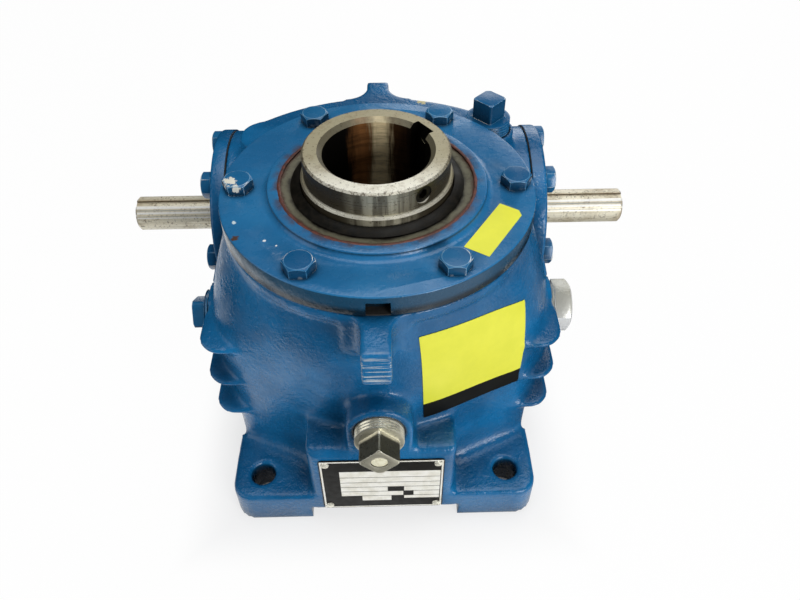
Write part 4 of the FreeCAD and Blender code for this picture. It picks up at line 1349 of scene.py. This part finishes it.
@dataclass
class EndCap:
    """Bearing cap of one end of the worm, with its bolts, shim and seal."""

    finishes: Finishes
    side: Side
    edge_round: float = 0.6 * MM
    bolt_round: float = 0.45 * MM

    def build(self) -> None:
        """Build and dress the pieces."""
        finishes, end = self.finishes, self.side.value
        mount_rounded(f"{end}_cap_plate", f"{end}_bearing_cap", self.edge_round, Slot.CASTING,
                      finishes.casting)
        mount_rounded(f"{end}_cap_bolt_heads", f"{end}_cap_bolts", self.bolt_round, Slot.PAINTED_STEEL,
                      finishes.bolt, finishes.bolt_edge_chips_and_glints)
        dress(finishes.gasket, f"{end}_cap_shim")
        dress(finishes.worm_seal, f"{end}_worm_seal_case")
        dress(finishes.rubber, f"{end}_worm_seal_lip")


@dataclass
class Plugs:
    """Drain, level and fill plugs, and the pale filler in the drain plug's cored end."""

    finishes: Finishes
    edge_round: float = 0.4 * MM
    filler_at: Point = (-1.5, -110.6, 88.5)
    filler_r: float = 4.55 * MM
    filler_t: float = 3.0 * MM
    filler_sides: int = 48
    filler_round: float = 0.6 * MM

    def build(self) -> None:
        """Build and dress the plugs."""
        bare = (self.finishes.plug, self.finishes.plug_edge)
        painted = (self.finishes.bolt, self.finishes.bolt_edge_chips_and_glints)
        for node, slot, finish in (("drain_plug", Slot.STEEL, bare),
                                   ("level_plug_left", Slot.PAINTED_STEEL, painted),
                                   ("level_plug_right", Slot.ZINC, (self.finishes.zinc,)),
                                   ("fill_plug", Slot.PAINTED_STEEL, painted)):
            mount_rounded(f"{node}_piece", node, self.edge_round, slot, *finish)
        self.filler()

    def filler(self) -> None:
        """Press the filler into the drain plug, its face sunk and its rim rounded off."""
        filler = start_piece("drain_filler", bpy.ops.mesh.primitive_cylinder_add, vertices=self.filler_sides,
                             radius=self.filler_r, depth=self.filler_t)
        apply_modifier(filler, "BEVEL", width=self.filler_round, segments=3, limit_method="ANGLE",
                       angle_limit=SMOOTH_UNDER)
        bpy.ops.object.shade_smooth_by_angle(angle=SMOOTH_UNDER)
        level = Matrix.Rotation(math.radians(90), 4, "X")
        settle(filler, Matrix.Translation(Vector(self.filler_at) * MM) @ level)
        paint(filler, self.finishes.filler)
        mount(filler, None)


@dataclass
class Inside:
    """Shafts, gear set and bearings, whose solids stay as they are."""

    finishes: Finishes
    bearings: tuple[str, ...] = ("upper_bearing", "lower_bearing", "left_worm_bearing", "right_worm_bearing")

    def build(self) -> None:
        """Dress the solids."""
        finishes = self.finishes
        dress(finishes.collar, "hollow_shaft")
        dress(finishes.oxide, "collar_set_screws", "gear_bolts")
        dress(finishes.shaft, "worm_shaft")
        dress(finishes.bronze, "worm_gear")
        for bearing in self.bearings:
            dress(finishes.bearing, f"{bearing}_cup", f"{bearing}_cone", f"{bearing}_rollers")
            dress(finishes.cage, f"{bearing}_cage")


@dataclass(frozen=True)
class Lamp:
    """A square soft light aimed at the middle of the object: place and side in metres, power in watts."""

    name: str
    at: Point
    size: float
    power: float
    aim: Point = (0.0, 0.0, 0.1)

    def hang(self) -> None:
        """Add the light to the scene."""
        data = bpy.data.lights.new(self.name, "AREA")
        data.size = self.size
        data.energy = self.power
        light = bpy.data.objects.new(self.name, data)
        turn = (Vector(self.aim) - Vector(self.at)).to_track_quat("-Z", "Y").to_matrix().to_4x4()
        light.matrix_world = Matrix.Translation(Vector(self.at)) @ turn
        bpy.context.scene.collection.objects.link(light)


@dataclass(frozen=True)
class ReflectedGlow:
    """A part of the floor that glows white in reflections only, a painted reflection, fading from one radius to
    another.
    """

    at: Point
    inner: float
    outer: float
    level: float = 1.0


@dataclass
class Studio:
    """Plain pale floor, soft light and the camera."""

    eye: Point = (5.846, -309.09, 409.69)
    azimuth: float = math.radians(-1.055)
    elevation: float = math.radians(45.845)
    roll: float = math.radians(-0.36)
    focal: float = 722.559
    frame_width: float = 800.0
    sensor_width: float = 36.0
    clip_start: float = 10 * MM
    floor_half: float = 4.0
    floor_colour: Colour = (0.85, 0.85, 0.85)
    floor_rough: float = 0.7
    floor_white: float = 0.97
    shadow_white: float = 0.70
    shadow_from: Span = (88.0 * MM, 93.0 * MM)
    shadow_over: float = 40.0 * MM
    reflected_glows: tuple[ReflectedGlow, ...] = (
        ReflectedGlow((-80.0, 60.0, 0.0), 185.0, 215.0), ReflectedGlow((260.0, -300.0, 0.0), 120.0, 320.0),
        ReflectedGlow((320.0, 60.0, 0.0), 40.0, 120.0, 0.4), ReflectedGlow((75.0, -115.0, 0.0), 25.0, 60.0))
    foot_hole: Point = (*foot_hole_place(), 0.0)
    foot_hole_r: Span = (8.0, 8.5)
    room: float = 0.14
    mirrored_room: float = 0.2
    lamps: tuple[Lamp, ...] = (
        Lamp("key", (0.15, 0.15, 1.30), 1.1, 10.5), Lamp("right", (0.75, -1.10, 0.45), 0.6, 12.0),
        Lamp("left", (-1.05, -0.40, 0.55), 0.9, 3.2), Lamp("back", (0.40, 1.30, 0.40), 0.8, 4.0))

    def camera(self) -> None:
        """Set the camera at the viewing angle."""
        az, el, roll = self.azimuth, self.elevation, self.roll
        back = Vector((math.sin(az) * math.cos(el), -math.cos(az) * math.cos(el), math.sin(el)))
        level = (-back).cross(Vector((0, 0, 1))).normalized()
        above = level.cross(-back)
        right = math.cos(roll) * level + math.sin(roll) * above
        up = math.cos(roll) * above - math.sin(roll) * level
        data = bpy.data.cameras.new("camera")
        data.sensor_fit = "HORIZONTAL"
        data.sensor_width = self.sensor_width
        data.lens = self.focal / self.frame_width * self.sensor_width
        data.clip_start = self.clip_start
        camera = bpy.data.objects.new("camera", data)
        turn = Matrix((right, up, back)).transposed().to_4x4()
        camera.matrix_world = Matrix.Translation(Vector(self.eye) * MM) @ turn
        bpy.context.scene.collection.objects.link(camera)
        bpy.context.scene.camera = camera

    def floor(self) -> None:
        """Lay the floor, white where it is seen but not down the foot holes, keep the object's shadow, and make it
        less white round the base as a painted contact shadow.
        """
        floor = start_piece("floor", bpy.ops.mesh.primitive_plane_add, size=2 * self.floor_half,
                            location=(0, 0, 0))
        g = Graph("pale_floor")
        surface = g.node("BsdfPrincipled", Base_Color=self.floor_colour, Roughness=self.floor_rough)
        path = g.node("LightPath")
        seen = path.outputs["Is Camera Ray"]
        strength = seen
        # Painted reflections: patches of floor glow white for reflected rays only; elsewhere the floor shows dark
        # in reflections.
        for patch in self.reflected_glows:
            glow = g.ramp(g.reach(patch.at), patch.inner, patch.outer, patch.level, 0.0)
            strength = g.sums("MAXIMUM", strength, glow)
        white = g.node("Emission", Color=(1.0, 1.0, 1.0), Strength=strength)
        across, along = (g.sums("ABSOLUTE", g.axis(name)) for name in "XY")
        # Painted shadow: the seen floor is less white close to the base.
        beside, before = (g.sums("SUBTRACT", *pair) for pair in zip((across, along), self.shadow_from))
        plain = g.ramp(g.sums("MAXIMUM", beside, before), 0.0, self.shadow_over, self.shadow_white,
                       self.floor_white)
        shown = g.sums("MAXIMUM", g.times(seen, plain), path.outputs["Is Glossy Ray"])
        folded = g.node("CombineXYZ", X=across, Y=along).outputs[0]
        clear = g.ramp(g.reach(self.foot_hole, folded), *self.foot_hole_r)
        mixed = g.node("MixShader")
        layers = (g.times(shown, clear), surface.outputs["BSDF"], white.outputs["Emission"])
        for socket, value in zip(mixed.inputs, layers):
            g.feed(socket, value)
        g.feed(g.output.inputs["Surface"], mixed.outputs["Shader"])
        paint(floor, g.material)

    def sky(self) -> None:
        """Fill the surroundings with a dim even light that is white where the camera sees it."""
        world = bpy.data.worlds.new("surround")
        bpy.context.scene.world = world
        world.use_nodes = True
        tree = world.node_tree
        back = tree.nodes["Background"]
        back.inputs["Color"].default_value = (1.0, 1.0, 1.0, 1.0)
        path = tree.nodes.new("ShaderNodeLightPath")
        level, shown = tree.nodes.new("ShaderNodeMapRange"), tree.nodes.new("ShaderNodeMath")
        level.inputs["To Min"].default_value = self.room
        level.inputs["To Max"].default_value = self.room * self.mirrored_room
        shown.operation = "MAXIMUM"
        tree.links.new(path.outputs["Is Glossy Ray"], level.inputs["Value"])
        tree.links.new(path.outputs["Is Camera Ray"], shown.inputs[0])
        tree.links.new(level.outputs["Result"], shown.inputs[1])
        tree.links.new(shown.outputs["Value"], back.inputs["Strength"])

    def build(self) -> None:
        """Set up the whole studio."""
        self.floor()
        self.sky()
        for lamp in self.lamps:
            lamp.hang()
        self.camera()
        bpy.context.scene.view_settings.view_transform = "Standard"


def main() -> None:
    """Build the dressed reducer and its studio."""
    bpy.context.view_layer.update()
    finishes = Finishes()
    case = CastCase(finishes).build()
    CaseSticker(finishes, case).build()
    Nameplate(finishes).build()
    Cover(finishes).build()
    for side in Side:
        EndCap(finishes, side).build()
    Plugs(finishes).build()
    Inside(finishes).build()
    Studio().build()


if __name__ == "__main__":
    main()
